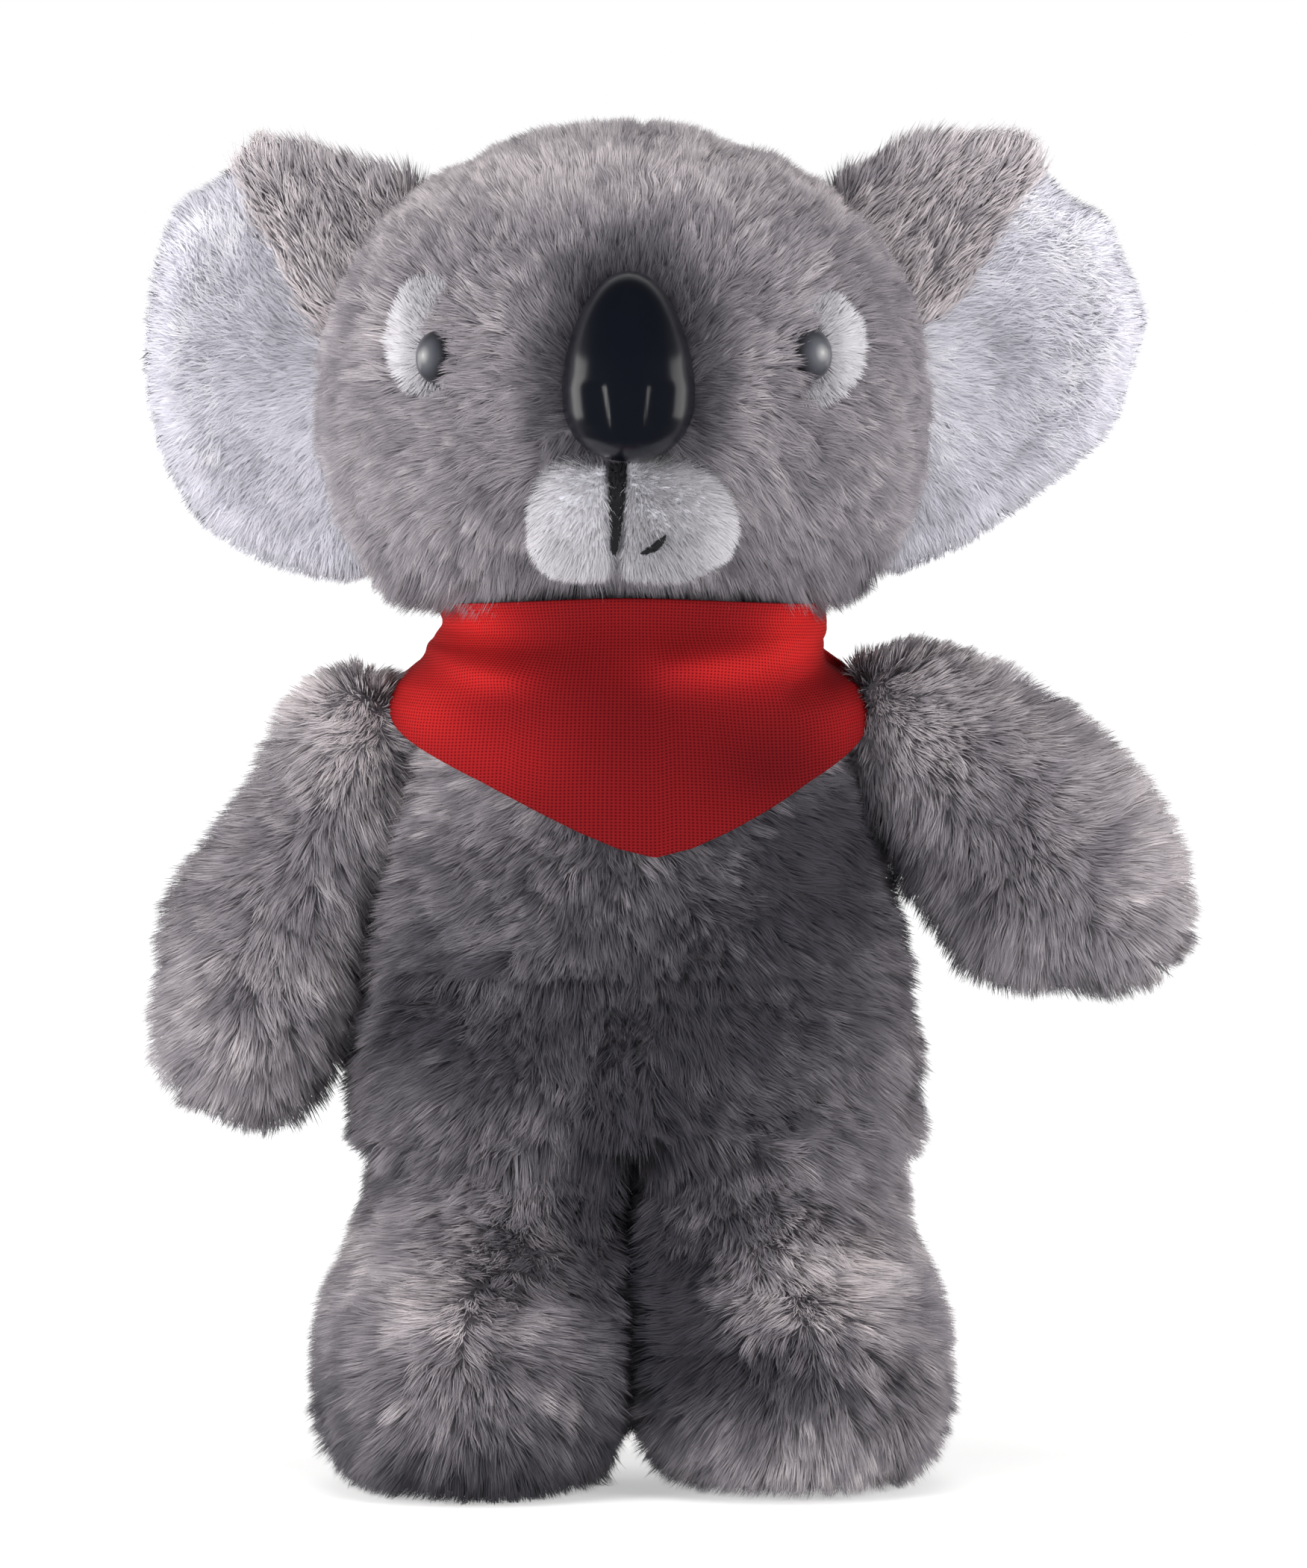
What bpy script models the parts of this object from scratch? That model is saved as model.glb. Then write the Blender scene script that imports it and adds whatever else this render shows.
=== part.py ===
"""Plush koala, built as the sewn and stuffed pieces that the real toy is made of.

Design units are millimetres, +Z up, the toy faces -Y, its own left side is at +X.
Each plush panel's outer face stands for the mean outer face of its pile.
"""
import math

import bmesh
import bpy
import numpy as np
from mathutils import Matrix, Vector

# ---------------------------------------------------------------- driving dimensions (mm)
SHIFT_X, SHIFT_Y = -11.09, 9.50   # puts the bottom centre of the whole toy's box on the origin
SKIN = 5.0                         # plush panel with its pile
GAP = 0.35                         # clearance between pieces that touch in the real toy
SWING = 1.2                        # clearance where one piece turns against another

BODY_X = 1.5                       # middle of torso and legs
HEAD_X = -0.5
NECK = (0.5, 2.0, 202.0)           # where the head nods
HIP_Y, HIP_Z, HIP_R = -3.0, 80.0, 36.0
HIP_SIDE = 29.5
HIP_MAX = 70.0                     # degrees that a leg swings forward
SHOULDER = {"right": (-60.0, -3.0, 166.0), "left": (60.0, -3.0, 165.0)}
ARM_ANGLE = {"right": 19.0, "left": 50.0}      # from straight down, outward
ARM_LOWEST = {"right": 0.0, "left": -12.0}
EAR_HINGE = {"right": (-60.0, 13.0, 246.0), "left": (60.0, 13.0, 246.0)}
EAR_SWING = 25.0
NOSE_STEM_R, EYE_STEM_R = 2.5, 1.7
EYE_R = 6.5
SOLE = 4.0
CLOTH = 1.6

for old in list(bpy.data.objects):
    bpy.data.objects.remove(old)

# z, half width, front, back
TORSO = [
    (97, 60.5, 41.3, 34.6), (106, 60.5, 42.0, 35.5), (118, 59.5, 42.5, 36.0), (130, 57.5, 42.5, 35.5),
    (142, 54.5, 42.0, 34.5), (154, 51.5, 40.5, 33.0), (166, 48.5, 38.5, 31.5), (176, 45.0, 36.5, 30.0),
    (184, 40.5, 33.5, 28.0), (190, 35.0, 30.0, 26.0), (194, 27.0, 24.0, 21.0), (195.4, 18.0, 16.0, 14.0),
]
HEAD = [
    (198.3, 28.0, 10.0, 17.0), (199.0, 38.0, 15.0, 23.0), (201.0, 46.5, 23.5, 29.0), (204.5, 52.5, 33.0, 35.5),
    (210.0, 58.0, 42.0, 41.5), (218.0, 62.0, 48.0, 47.0), (228.0, 64.3, 51.5, 50.0), (238.0, 64.5, 52.5, 51.0),
    (250.0, 63.3, 51.5, 50.0), (262.0, 60.0, 48.5, 47.0), (273.0, 53.5, 43.5, 42.0), (282.0, 44.5, 36.5, 35.5),
    (289.0, 33.5, 28.0, 27.0), (293.6, 22.0, 19.0, 18.0), (296.2, 11.0, 9.5, 9.0),
]
# z, middle x, half width, front, back: the leg on the toy's right
LEG = [
    (0, -32.0, 26.0, 50.0, 26.0), (2.4, -32.6, 29.6, 54.0, 29.4), (SOLE + 0.15, -33.0, 31.0, 56.0, 31.0),
    (9, -33.4, 32.8, 58.8, 32.8), (18, -33.6, 33.9, 61.0, 34.0), (30, -33.6, 34.0, 61.0, 34.6),
    (42, -32.6, 33.0, 57.0, 34.6), (52, -30.2, 30.6, 50.0, 34.2), (62, -28.6, 29.0, 43.4, 33.6),
    (72, -28.1, 28.5, 40.0, 33.2), (81, -28.0, 28.4, 39.0, 33.0),
]
ARM = {
    "right": [(-17.6, 3.0, 2.6), (-15.5, 9.2, 8.2), (-11.0, 14.3, 12.7), (-5.5, 17.1, 15.2), (0, 18.0, 16.0), (20, 18.4, 17.0),
              (40, 20.0, 18.0), (58, 21.4, 19.0), (70, 20.6, 18.4), (79, 17.2, 15.2), (85, 11.6, 10.4), (88, 5.6, 5.0)],
    "left": [(-19.5, 3.3, 2.8), (-17.3, 10.2, 8.7), (-12.3, 15.9, 13.5), (-6.1, 19.0, 16.2), (0, 20.0, 17.0), (14, 22.0, 17.8),
             (30, 24.6, 18.8), (46, 26.0, 19.5), (58, 25.0, 18.8), (68, 20.8, 16.0), (75, 14.2, 11.4), (78.6, 6.8, 5.6)],
}
# x (outward), z round each ear, from the top inner corner over the top and down
EAR = {
    "right": [(44, 283), (53, 284.5), (64, 288.5), (76, 290.5), (87, 285), (96, 278.5), (101, 268), (103.8, 256), (104.4, 244),
              (102.2, 231), (98, 219), (91.5, 210.5), (82, 204.5), (70, 201), (58, 200), (46, 206), (40, 226), (40, 256)],
    "left": [(44, 282.5), (54, 288.5), (66, 291.5), (77, 291), (90, 286.5), (100, 278.5), (107, 268), (111.5, 256), (112, 246),
             (108.5, 233), (102, 221.5), (93, 213), (81, 206), (70, 200.5), (58, 199.5), (46, 206), (40, 226), (40, 256)],
}


# ---------------------------------------------------------------- mesh helpers
def build(name, verts, faces):
    mesh = bpy.data.meshes.new(name)
    mesh.from_pydata([tuple(v) for v in verts], [], faces)
    bm = bmesh.new()
    bm.from_mesh(mesh)
    bmesh.ops.recalc_face_normals(bm, faces=bm.faces)
    bm.to_mesh(mesh)
    bm.free()
    obj = bpy.data.objects.new(name, mesh)
    bpy.context.scene.collection.objects.link(obj)
    return obj


def power(value, exponent):
    return math.copysign(abs(value) ** exponent, value)


def section(cx, z, half, front, back, count, squareness, y0=0.0):
    points = []
    for i in range(count):
        t = 2 * math.pi * i / count
        x = cx + half * power(math.sin(t), 2 / squareness)
        c = power(math.cos(t), 2 / squareness)
        points.append((x, y0 - front * c if c > 0 else y0 - back * c, z))
    return points


def loft(name, rings):
    """Closed solid through rings of equal count, each end closed by a fan."""
    verts = [p for ring in rings for p in ring]
    n = len(rings[0])
    faces = []
    for r in range(len(rings) - 1):
        for i in range(n):
            j = (i + 1) % n
            faces.append((r * n + i, r * n + j, (r + 1) * n + j, (r + 1) * n + i))
    for r in (0, len(rings) - 1):
        middle = np.mean(np.array(rings[r]), axis=0)
        verts.append(tuple(middle))
        c = len(verts) - 1
        for i in range(n):
            faces.append((r * n + i, r * n + (i + 1) % n, c))
    return build(name, verts, faces)


def copy_of(obj, name="copy"):
    twin = bpy.data.objects.new(name, obj.data.copy())
    bpy.context.scene.collection.objects.link(twin)
    return twin


def moved(obj, matrix):
    obj.data.transform(matrix)
    return obj


def offset(obj, amount):
    """A copy grown by amount (negative shrinks it) along each axis about its box's centre."""
    twin = copy_of(obj)
    pts = np.array([v.co for v in twin.data.vertices])
    low, high = pts.min(axis=0), pts.max(axis=0)
    middle, half = (low + high) / 2, (high - low) / 2
    for v, p in zip(twin.data.vertices, middle + (pts - middle) * (half + amount) / half):
        v.co = p
    return twin


def tidy(mesh, distance=0.004):
    """Weld the slivers that a cut leaves, close what that opens, and leave triangles."""
    bm = bmesh.new()
    bm.from_mesh(mesh)
    bmesh.ops.triangulate(bm, faces=bm.faces)
    bmesh.ops.remove_doubles(bm, verts=bm.verts, dist=distance)
    bmesh.ops.dissolve_degenerate(bm, dist=distance, edges=bm.edges)
    bmesh.ops.delete(bm, geom=[v for v in bm.verts if not v.link_faces], context="VERTS")
    bmesh.ops.holes_fill(bm, edges=[e for e in bm.edges if len(e.link_faces) == 1], sides=6)
    bmesh.ops.triangulate(bm, faces=bm.faces)
    bm.to_mesh(mesh)
    bm.free()
    return mesh


def combine(obj, other, operation, keep=False):
    modifier = obj.modifiers.new("cut", "BOOLEAN")
    modifier.operation = operation
    modifier.solver = "EXACT"
    modifier.object = other
    bpy.context.view_layer.update()
    evaluated = obj.evaluated_get(bpy.context.evaluated_depsgraph_get())
    mesh = bpy.data.meshes.new_from_object(evaluated)
    obj.modifiers.remove(modifier)
    obj.data = tidy(mesh)
    if not keep:
        bpy.data.objects.remove(other)
    return obj


def cut(obj, *others, keep=True):
    for other in others:
        combine(obj, other, "DIFFERENCE", keep)
    return obj


def join(obj, other):
    return combine(obj, other, "UNION")


def common(obj, other, keep=False):
    return combine(obj, other, "INTERSECT", keep)


def box(low, high, name="box"):
    (x0, y0, z0), (x1, y1, z1) = low, high
    v = [(x, y, z) for x in (x0, x1) for y in (y0, y1) for z in (z0, z1)]
    return build(name, v, [(0, 1, 3, 2), (4, 6, 7, 5), (0, 4, 5, 1), (2, 3, 7, 6), (0, 2, 6, 4), (1, 5, 7, 3)])


def prism(outline, axis, low, high, name="prism"):
    """A polygon pushed along one axis; outline holds the other two coordinates in order."""
    def point(a, b, c):
        return {"x": (c, a, b), "y": (a, c, b), "z": (a, b, c)}[axis]
    n = len(outline)
    verts = [point(a, b, low) for a, b in outline] + [point(a, b, high) for a, b in outline]
    faces = [tuple(range(n)), tuple(range(n, 2 * n))]
    faces += [(i, (i + 1) % n, n + (i + 1) % n, n + i) for i in range(n)]
    return build(name, verts, faces)


def lathe(profile, count=24, name="lathe"):
    """profile: (radius, height) from one end to the other, ends at radius 0; about +Z."""
    rings, ends = [], []
    for r, h in profile:
        if r == 0:
            ends.append(h)
        else:
            rings.append([(r * math.cos(2 * math.pi * i / count), r * math.sin(2 * math.pi * i / count), h) for i in range(count)])
    obj_verts = [p for ring in rings for p in ring] + [(0, 0, ends[0]), (0, 0, ends[1])]
    base, n = len(rings) * count, count
    faces = []
    for r in range(len(rings) - 1):
        for i in range(n):
            faces.append((r * n + i, r * n + (i + 1) % n, (r + 1) * n + (i + 1) % n, (r + 1) * n + i))
    faces += [(i, (i + 1) % n, base) for i in range(n)]
    faces += [((len(rings) - 1) * n + i, (len(rings) - 1) * n + (i + 1) % n, base + 1) for i in range(n)]
    return build(name, obj_verts, faces)


def washer(inner, outer, low, high, count=18, name="washer"):
    verts, faces = [], []
    for r, h in ((inner, low), (outer, low), (outer, high), (inner, high)):
        verts += [(r * math.cos(2 * math.pi * i / count), r * math.sin(2 * math.pi * i / count), h) for i in range(count)]
    for k in range(4):
        for i in range(count):
            j = (i + 1) % count
            faces.append((k * count + i, k * count + j, ((k + 1) % 4) * count + j, ((k + 1) % 4) * count + i))
    return build(name, verts, faces)


def ball(center, radii, rings=12, count=24, name="ball"):
    profile = [(0, -1.0)] + [(math.sin(math.pi * k / rings), -math.cos(math.pi * k / rings)) for k in range(1, rings)] + [(0, 1.0)]
    obj = lathe(profile, count, name)
    return moved(obj, Matrix.Translation(center) @ Matrix.Diagonal((*radii, 1)))


def rod(start, end, radius, count=16, name="rod"):
    a, b = Vector(start), Vector(end)
    length = (b - a).length
    obj = lathe([(0, 0), (radius, 0), (radius, length), (0, length)], count, name)
    return moved(obj, Matrix.Translation(a) @ Vector((0, 0, 1)).rotation_difference(b - a).to_matrix().to_4x4())


def turned(obj, pivot, axis, degrees):
    m = Matrix.Translation(pivot) @ Matrix.Rotation(math.radians(degrees), 4, axis) @ Matrix.Translation(-Vector(pivot))
    return moved(obj, m)


# ---------------------------------------------------------------- bodies as plain solids
def torso_solid():
    return loft("torso", [section(BODY_X if z < 150 else BODY_X - 1.0 * min(1, (z - 150) / 30), z, w, f, b, 28, 2.3) for z, w, f, b in TORSO])


def head_solid():
    return loft("head", [section(HEAD_X, z, w, f, b, 28, 2.2) for z, w, f, b in HEAD])


def leg_solid(side, grow=0.0):
    mirror = side == "left"
    rings = []
    for z, cx, half, front, back in LEG:
        if mirror:
            cx = 2 * BODY_X - cx
            if z < 60:
                front = 39.0 + (front - 39.0) * 0.72
        rings.append(section(cx, z, half + grow, front + grow, back + grow, 24, 2.3))
    leg = loft("leg", rings)
    cx = -28.0 if not mirror else 2 * BODY_X + 28.0
    half = 28.4 + grow
    profile = [(0, -half)]
    for k in range(1, 10):
        u = -math.cos(math.pi * k / 10)
        x = power(u, 0.72)
        profile.append(((HIP_R + grow) * (1 - abs(x) ** 3.2) ** (1 / 3.2), x * half))
    profile.append((0, half))
    dome = lathe(profile, 28, "dome")
    moved(dome, Matrix.Translation((cx, HIP_Y, HIP_Z)) @ Matrix.Rotation(math.radians(90), 4, "Y"))
    return join(leg, dome)


def arm_solid(side, grow=0.0, degrees=0.0):
    sx = -1 if side == "right" else 1
    pivot = Vector(SHOULDER[side])
    angle = math.radians(ARM_ANGLE[side] + degrees)
    along = Vector((sx * math.sin(angle), 0, -math.cos(angle)))
    across = Vector((sx * math.cos(angle), 0, math.sin(angle)))
    rings = []
    table = ARM[side]
    low, high = table[0][0] - 0.4, table[-1][0] + 0.6
    wide, deep = max(row[1] for row in table), max(row[2] for row in table)
    for s, w, d in table:
        s = s * (1 + grow / (abs(low) if s < 0 else high))
        w, d = w * (wide + grow) / wide, d * (deep + grow) / deep
        ring = []
        for i in range(24):
            t = 2 * math.pi * i / 24
            p = pivot + along * s + across * (w * math.cos(t)) + Vector((0, 1, 0)) * (d * math.sin(t))
            ring.append(tuple(p))
        rings.append(ring)
    return loft("arm", rings)


# ---------------------------------------------------------------- torso
torso = torso_solid()
hip_cutter = prism([(HIP_Y + (HIP_R + SWING) * math.cos(2 * math.pi * i / 56), HIP_Z + (HIP_R + SWING) * math.sin(2 * math.pi * i / 56)) for i in range(56)],
                   "x", -90, 95, "hip_cutter")
a = math.radians(HIP_MAX)
r = HIP_R + SWING
touch = (HIP_Y - r * math.cos(a), HIP_Z + r * math.sin(a))
reach = 50.0
swing_cutter = prism([touch, (touch[0] - reach * math.sin(a), touch[1] - reach * math.cos(a)), (touch[0] - reach * math.sin(a), 55), (HIP_Y, 55), (HIP_Y, touch[1] - 0.5)],
                     "x", -91, 96, "swing_cutter")
arm_cutters = []
for side in ("right", "left"):
    arm_cutters.append(arm_solid(side, SWING, ARM_LOWEST[side]))
neck_hole = rod((NECK[0], NECK[1], 183.4), (NECK[0], NECK[1], 215), 13.0 + SWING, 20)

torso_core = offset(torso, -SKIN)
torso_stuffing = offset(torso, -SKIN - GAP)
shell = cut(copy_of(torso, "torso_shell"), torso_core)
cut(shell, hip_cutter, swing_cutter, neck_hole, *arm_cutters)
cut(torso_stuffing, hip_cutter, swing_cutter, neck_hole, *arm_cutters)
torso_front_panel = cut(copy_of(shell), box((-120, -GAP / 2, 0), (120, 100, 320)), keep=False)
torso_back_panel = cut(copy_of(shell), box((-120, -100, 0), (120, GAP / 2, 320)), keep=False)

# ---------------------------------------------------------------- neck
neck_stuffing = join(ball(NECK, (15.2, 15.2, 15.2), 10, 20), rod((NECK[0], NECK[1], 184), (NECK[0], NECK[1], 202), 13.0, 20))

# ---------------------------------------------------------------- head
head = head_solid()
head_core = offset(head, -SKIN)
neck_ball = ball(NECK, (16.8, 16.8, 16.8), 10, 20)
eye_at, eye_axis = {}, {}
for side, sx in (("right", -1), ("left", 1)):
    eye_at[side] = Vector((HEAD_X + sx * 41.0, -41.3, 251.0))
    eye_axis[side] = Vector((sx * 0.52, -0.84, 0.14)).normalized()
nose_at = Vector((0.2, -53.0, 249.0))

head_shell = cut(copy_of(head), head_core, neck_ball)
head_front_panel = cut(copy_of(head_shell), box((-120, 8 - GAP / 2, 150), (120, 100, 320)), keep=False)
head_back_panel = cut(copy_of(head_shell), box((-120, -100, 150), (120, 8 + GAP / 2, 320)), keep=False)
cut(head_front_panel, rod((nose_at.x, -60, 249), (nose_at.x, -38, 249), NOSE_STEM_R + GAP, 16), keep=False)
for side in ("right", "left"):
    at, out = eye_at[side], eye_axis[side]
    cut(head_front_panel, rod(at + out * 5, at - out * 12, EYE_STEM_R + GAP, 16), keep=False)
head_stuffing = cut(offset(head, -SKIN - GAP), neck_ball)
cut(head_stuffing, rod((nose_at.x, -55, 249), (nose_at.x, -38.4, 249), 9.0, 20), keep=False)
for side in ("right", "left"):
    at, out = eye_at[side], eye_axis[side]
    cut(head_stuffing, rod(at, at - out * 11.5, 7.0, 20), keep=False)

# nose: an egg, widest below its middle, that sits on the face; stem and washer behind
egg = [(229.0, 4.4, 5.0), (230.6, 8.2, 9.4), (234.0, 12.0, 13.4), (239.0, 14.2, 15.6), (245.0, 14.6, 16.0), (252.0, 13.6, 15.0),
       (259.0, 11.4, 12.6), (264.6, 8.6, 9.8), (268.4, 5.2, 6.2), (269.6, 2.6, 3.2)]
nose = loft("nose", [[(nose_at.x + w * math.sin(t), -54.0 - d * math.cos(t) * (1.0 if math.cos(t) > 0 else 0.8), z)
                      for t in [2 * math.pi * i / 24 for i in range(24)]] for z, w, d in egg])
cut(nose, offset(head, GAP), keep=False)
join(nose, rod((nose_at.x, -58, 249), (nose_at.x, -39.4, 249), NOSE_STEM_R, 16))
nose_washer = moved(washer(NOSE_STEM_R + 0.3, 8.0, 0, 2.0), Matrix.Translation((nose_at.x, -42.6, 249)) @ Matrix.Rotation(math.radians(90), 4, "X"))

eyes, eye_washers, eye_patches = {}, {}, {}
for side in ("right", "left"):
    at, out = eye_at[side], eye_axis[side]
    frame = Matrix.Translation(at) @ Vector((0, 0, 1)).rotation_difference(out).to_matrix().to_4x4()
    dome = [(0, -10.0), (EYE_STEM_R, -10.0), (EYE_STEM_R, 0.4), (EYE_R - 0.3, 0.4), (EYE_R, 0.9)]
    for k in range(1, 6):
        u = math.pi / 2 * k / 6
        dome.append((EYE_R * math.cos(u), 0.9 + 4.7 * math.sin(u)))
    dome.append((0, 5.6))
    eyes[side] = moved(lathe(dome, 20), frame)
    eye_washers[side] = moved(washer(EYE_STEM_R + 0.3, 6.0, -8.0, -6.5), frame)
    patch = cut(offset(head, 1.9), offset(head, GAP), keep=False)
    sx = -1 if side == "right" else 1
    # the oval's own frame: sideways is level and across the eye's axis
    level = Vector((0, 0, 1)).cross(out).normalized()
    upward = out.cross(level).normalized()
    basis = Matrix((level, upward, out)).transposed().to_4x4()
    sign = 1 if level.x * sx > 0 else -1
    oval = moved(lathe([(0, -8), (1, -8), (1, 12), (0, 12)], 28),
                 Matrix.Translation(at + level * sign * 4.0 + upward * 2.2) @ basis @ Matrix.Diagonal((8.4, 12.0, 1, 1)))
    common(patch, oval)
    cut(patch, rod(at - out * 9, at + out * 12, EYE_R + 0.45, 24), keep=False)
    eye_patches[side] = patch

# muzzle: two lobes on the face, with the line and the mouth stitch on them
MUZZLE = (0.6, -48.6, 213.8)
LOBE = (13.0, 10.4, 12.4)
LOBE_X = 8.5
muzzle_pad = join(ball((MUZZLE[0] - LOBE_X, *MUZZLE[1:]), LOBE, 12, 24), ball((MUZZLE[0] + LOBE_X, *MUZZLE[1:]), LOBE, 12, 24))
cut(muzzle_pad, offset(head, GAP), keep=False)


def lobe_front(x, z):
    """y of the muzzle's front at x, z."""
    best = -46.0
    for side in (-1, 1):
        q = 1 - ((x - MUZZLE[0] - side * LOBE_X) / LOBE[0]) ** 2 - ((z - MUZZLE[2]) / LOBE[2]) ** 2
        if q > 0:
            best = min(best, MUZZLE[1] - LOBE[1] * math.sqrt(q))
    return best


def strip(points, half_width, depth, name):
    """A bar along points (x, y, z) that lie on its back face."""
    rings = []
    for i, p in enumerate(points):
        q = Vector(points[min(i + 1, len(points) - 1)]) - Vector(points[max(i - 1, 0)])
        side = q.cross(Vector((0, -1, 0))).normalized() * half_width
        front = Vector((0, -depth, 0))
        p = Vector(p)
        rings.append([tuple(p - side), tuple(p + side), tuple(p + side + front), tuple(p - side + front)])
    return loft(name, rings)


philtrum_stitch = strip([(0.6, lobe_front(1.7, z) - 0.5 if z < 221 else lobe_front(1.7, 221) - 0.6, z)
                         for z in (210.6, 213, 216, 219, 221.5, 224, 227.4)], 1.0, 1.3, "philtrum")
mouth_stitch = strip([(x, lobe_front(x, z) - 0.5, z) for x, z in ((3.0, 209.4), (5.0, 209.6), (7.2, 210.4), (9.0, 211.5), (10.4, 212.8))], 0.6, 1.1, "mouth")


# ---------------------------------------------------------------- ears
def ear_layers(side):
    sx = -1 if side == "right" else 1
    outline = EAR[side]
    middle = np.array([72.0, 246.0])

    def depth(x, z):
        """Middle surface of the cup: its rim comes forward, its bowl goes back."""
        u = (x - 60.0) / 48.0
        v = (z - 246.0) / 46.0
        rim = min(1.0, ((x - 72.0) / 36.0) ** 2 + v ** 2)
        return 15.0 - 5.0 * max(0, u) ** 2 + 4.5 * (1 - rim) - 2.0 * v ** 2

    def layer(front, back, name):
        steps = (1.0, 0.93, 0.72, 0.42)
        rings = []
        for scale in steps:
            ring = []
            for x, z in outline:
                p = middle + (np.array([x, z]) - middle) * scale
                ring.append((p[0], p[1]))
            rings.append(ring)
        thick = (0.30, 0.72, 1.0, 1.0)
        verts, faces = [], []
        n = len(outline)
        for face_side in (0, 1):
            for ring, t in zip(rings, thick):
                for x, z in ring:
                    y = depth(x, z) + (front if face_side == 0 else back) * (t if (front if face_side == 0 else back) not in (-GAP / 2, GAP / 2) else 1.0)
                    verts.append((sx * x, y, z))
            verts.append((sx * middle[0], depth(*middle) + (front if face_side == 0 else back), middle[1]))
        size = len(steps) * n + 1
        for face_side in (0, 1):
            base = face_side * size
            for k in range(len(steps) - 1):
                for i in range(n):
                    j = (i + 1) % n
                    faces.append((base + k * n + i, base + k * n + j, base + (k + 1) * n + j, base + (k + 1) * n + i))
            k = len(steps) - 1
            for i in range(n):
                faces.append((base + k * n + i, base + k * n + (i + 1) % n, base + size - 1))
        for i in range(n):
            j = (i + 1) % n
            faces.append((i, j, size + j, size + i))
        return build(name, verts, faces)

    front = layer(-6.0, -GAP / 2, "ear_front")
    back = layer(GAP / 2, 6.0, "ear_back")
    whole = layer(-6.0, 6.0, "ear_whole")
    # the top inner corner is the back's plush, folded over to the front
    fold = [(sx * 30, 300), (sx * 81, 300), (sx * 80, 286), (sx * 72, 268), (sx * 64, 252), (sx * 30, 240)]
    wide = [(sx * 29, 301), (sx * 81.4, 301), (sx * 80.4, 285.8), (sx * 72.4, 267.8), (sx * 64.3, 251.6), (sx * 29, 239)]
    cut(front, prism(wide, "y", -40, 60), keep=False)
    join(back, common(whole, prism(fold, "y", -40, 60)))
    grown = offset(head, GAP + 0.25)
    for degrees in (-EAR_SWING, -EAR_SWING / 2, 0.0, EAR_SWING / 2, EAR_SWING):
        cutter = turned(copy_of(grown), EAR_HINGE[side], "Z", degrees)
        cut(front, cutter)
        cut(back, cutter)
        bpy.data.objects.remove(cutter)
    bpy.data.objects.remove(grown)
    return front, back


ears = {side: ear_layers(side) for side in ("right", "left")}


# ---------------------------------------------------------------- arms
arms = {}
for side in ("right", "left"):
    sx = -1 if side == "right" else 1
    pivot = Vector(SHOULDER[side])
    outer, inner = arm_solid(side), arm_solid(side, -SKIN)
    skin = cut(outer, inner)
    mouth = rod(pivot, pivot + Vector((-sx * 24, 0, 4.5)), 7.6, 16)
    cut(skin, mouth)
    arms[side] = (skin, arm_solid(side, -SKIN - GAP))
    bpy.data.objects.remove(inner)
    bpy.data.objects.remove(mouth)

# ---------------------------------------------------------------- legs
legs = {}
for side in ("right", "left"):
    outer, inner, fill = leg_solid(side), leg_solid(side, -SKIN), leg_solid(side, -SKIN - GAP)
    floor = box((-120, -120, -10), (120, 120, SOLE))
    sole = common(copy_of(outer), floor, keep=True)
    skin = cut(outer, inner)
    cut(skin, box((-120, -120, -10), (120, 120, SOLE + GAP)), keep=False)
    cx = -28.0 if side == "right" else 2 * BODY_X + 28.0
    mouth = rod((cx, HIP_Y, HIP_Z + 10), (cx, HIP_Y, HIP_Z + 50), 10.0, 20)
    cut(skin, mouth)
    cut(fill, box((-120, -120, -10), (120, 120, SOLE + 2 * GAP)), keep=False)
    legs[side] = (skin, fill, sole)
    for o in (inner, mouth, floor):
        bpy.data.objects.remove(o)

# ---------------------------------------------------------------- bandana
# height, half width, front, back of the cloth's inner face
CLOTH_AT = [(140, 48.0, 45.2, 30.0), (148, 49.5, 44.8, 30.0), (156, 50.5, 44.0, 30.0), (164, 51.0, 43.0, 30.0), (172, 51.6, 41.8, 30.0),
            (178, 51.6, 40.6, 30.0), (183, 50.0, 39.0, 30.0), (187, 45.6, 37.2, 30.0), (190.5, 41.6, 36.2, 29.6), (194, 41.4, 36.4, 29.4), (196.6, 42.0, 37.2, 29.6)]
# degrees from the front, lowest height of the cloth
HEM = [(0, 141.5), (10, 143.5), (20, 147.0), (32, 152.5), (44, 159.5), (54, 166.0), (63, 172.0), (71, 178.0), (79, 183.5), (88, 186.4), (110, 186.6), (180, 186.0)]
KNOT_GAP = 9.0


def cloth_point(degrees, z, out):
    table = np.array(CLOTH_AT)
    w, f, b = (np.interp(z, table[:, 0], table[:, k]) + out for k in (1, 2, 3))
    t = math.radians(degrees)
    s, c = power(math.sin(t), 2 / 2.6), power(math.cos(t), 2 / 2.6)
    return (0.8 + w * s, -f * c if c > 0 else -b * c, z)


columns = []
span = 180.0 - KNOT_GAP
for i in range(45):
    u = -1 + 2 * i / 44
    columns.append(span * (0.62 * u + 0.38 * u ** 3))
rows = 8
hem = np.array(HEM)
verts, faces = [], []
for face_side in (0, 1):
    for d in columns:
        shift = abs(d - 7.0) if abs(d) < 60 else abs(d)
        low = float(np.interp(shift, hem[:, 0], hem[:, 1]))
        for k in range(rows):
            z = low + (196.4 - low) * k / (rows - 1)
            verts.append(cloth_point(d, z, CLOTH * face_side))
size = len(columns) * rows
for face_side in (0, 1):
    for i in range(len(columns) - 1):
        for k in range(rows - 1):
            q = face_side * size + i * rows + k
            faces.append((q, q + rows, q + rows + 1, q + 1))
for i in range(len(columns) - 1):
    for k in (0, rows - 1):
        q = i * rows + k
        faces.append((q, q + rows, q + rows + size, q + size))
for i in (0, len(columns) - 1):
    for k in range(rows - 1):
        q = i * rows + k
        faces.append((q, q + 1, q + 1 + size, q + size))
bandana = build("bandana", verts, faces)

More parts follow.
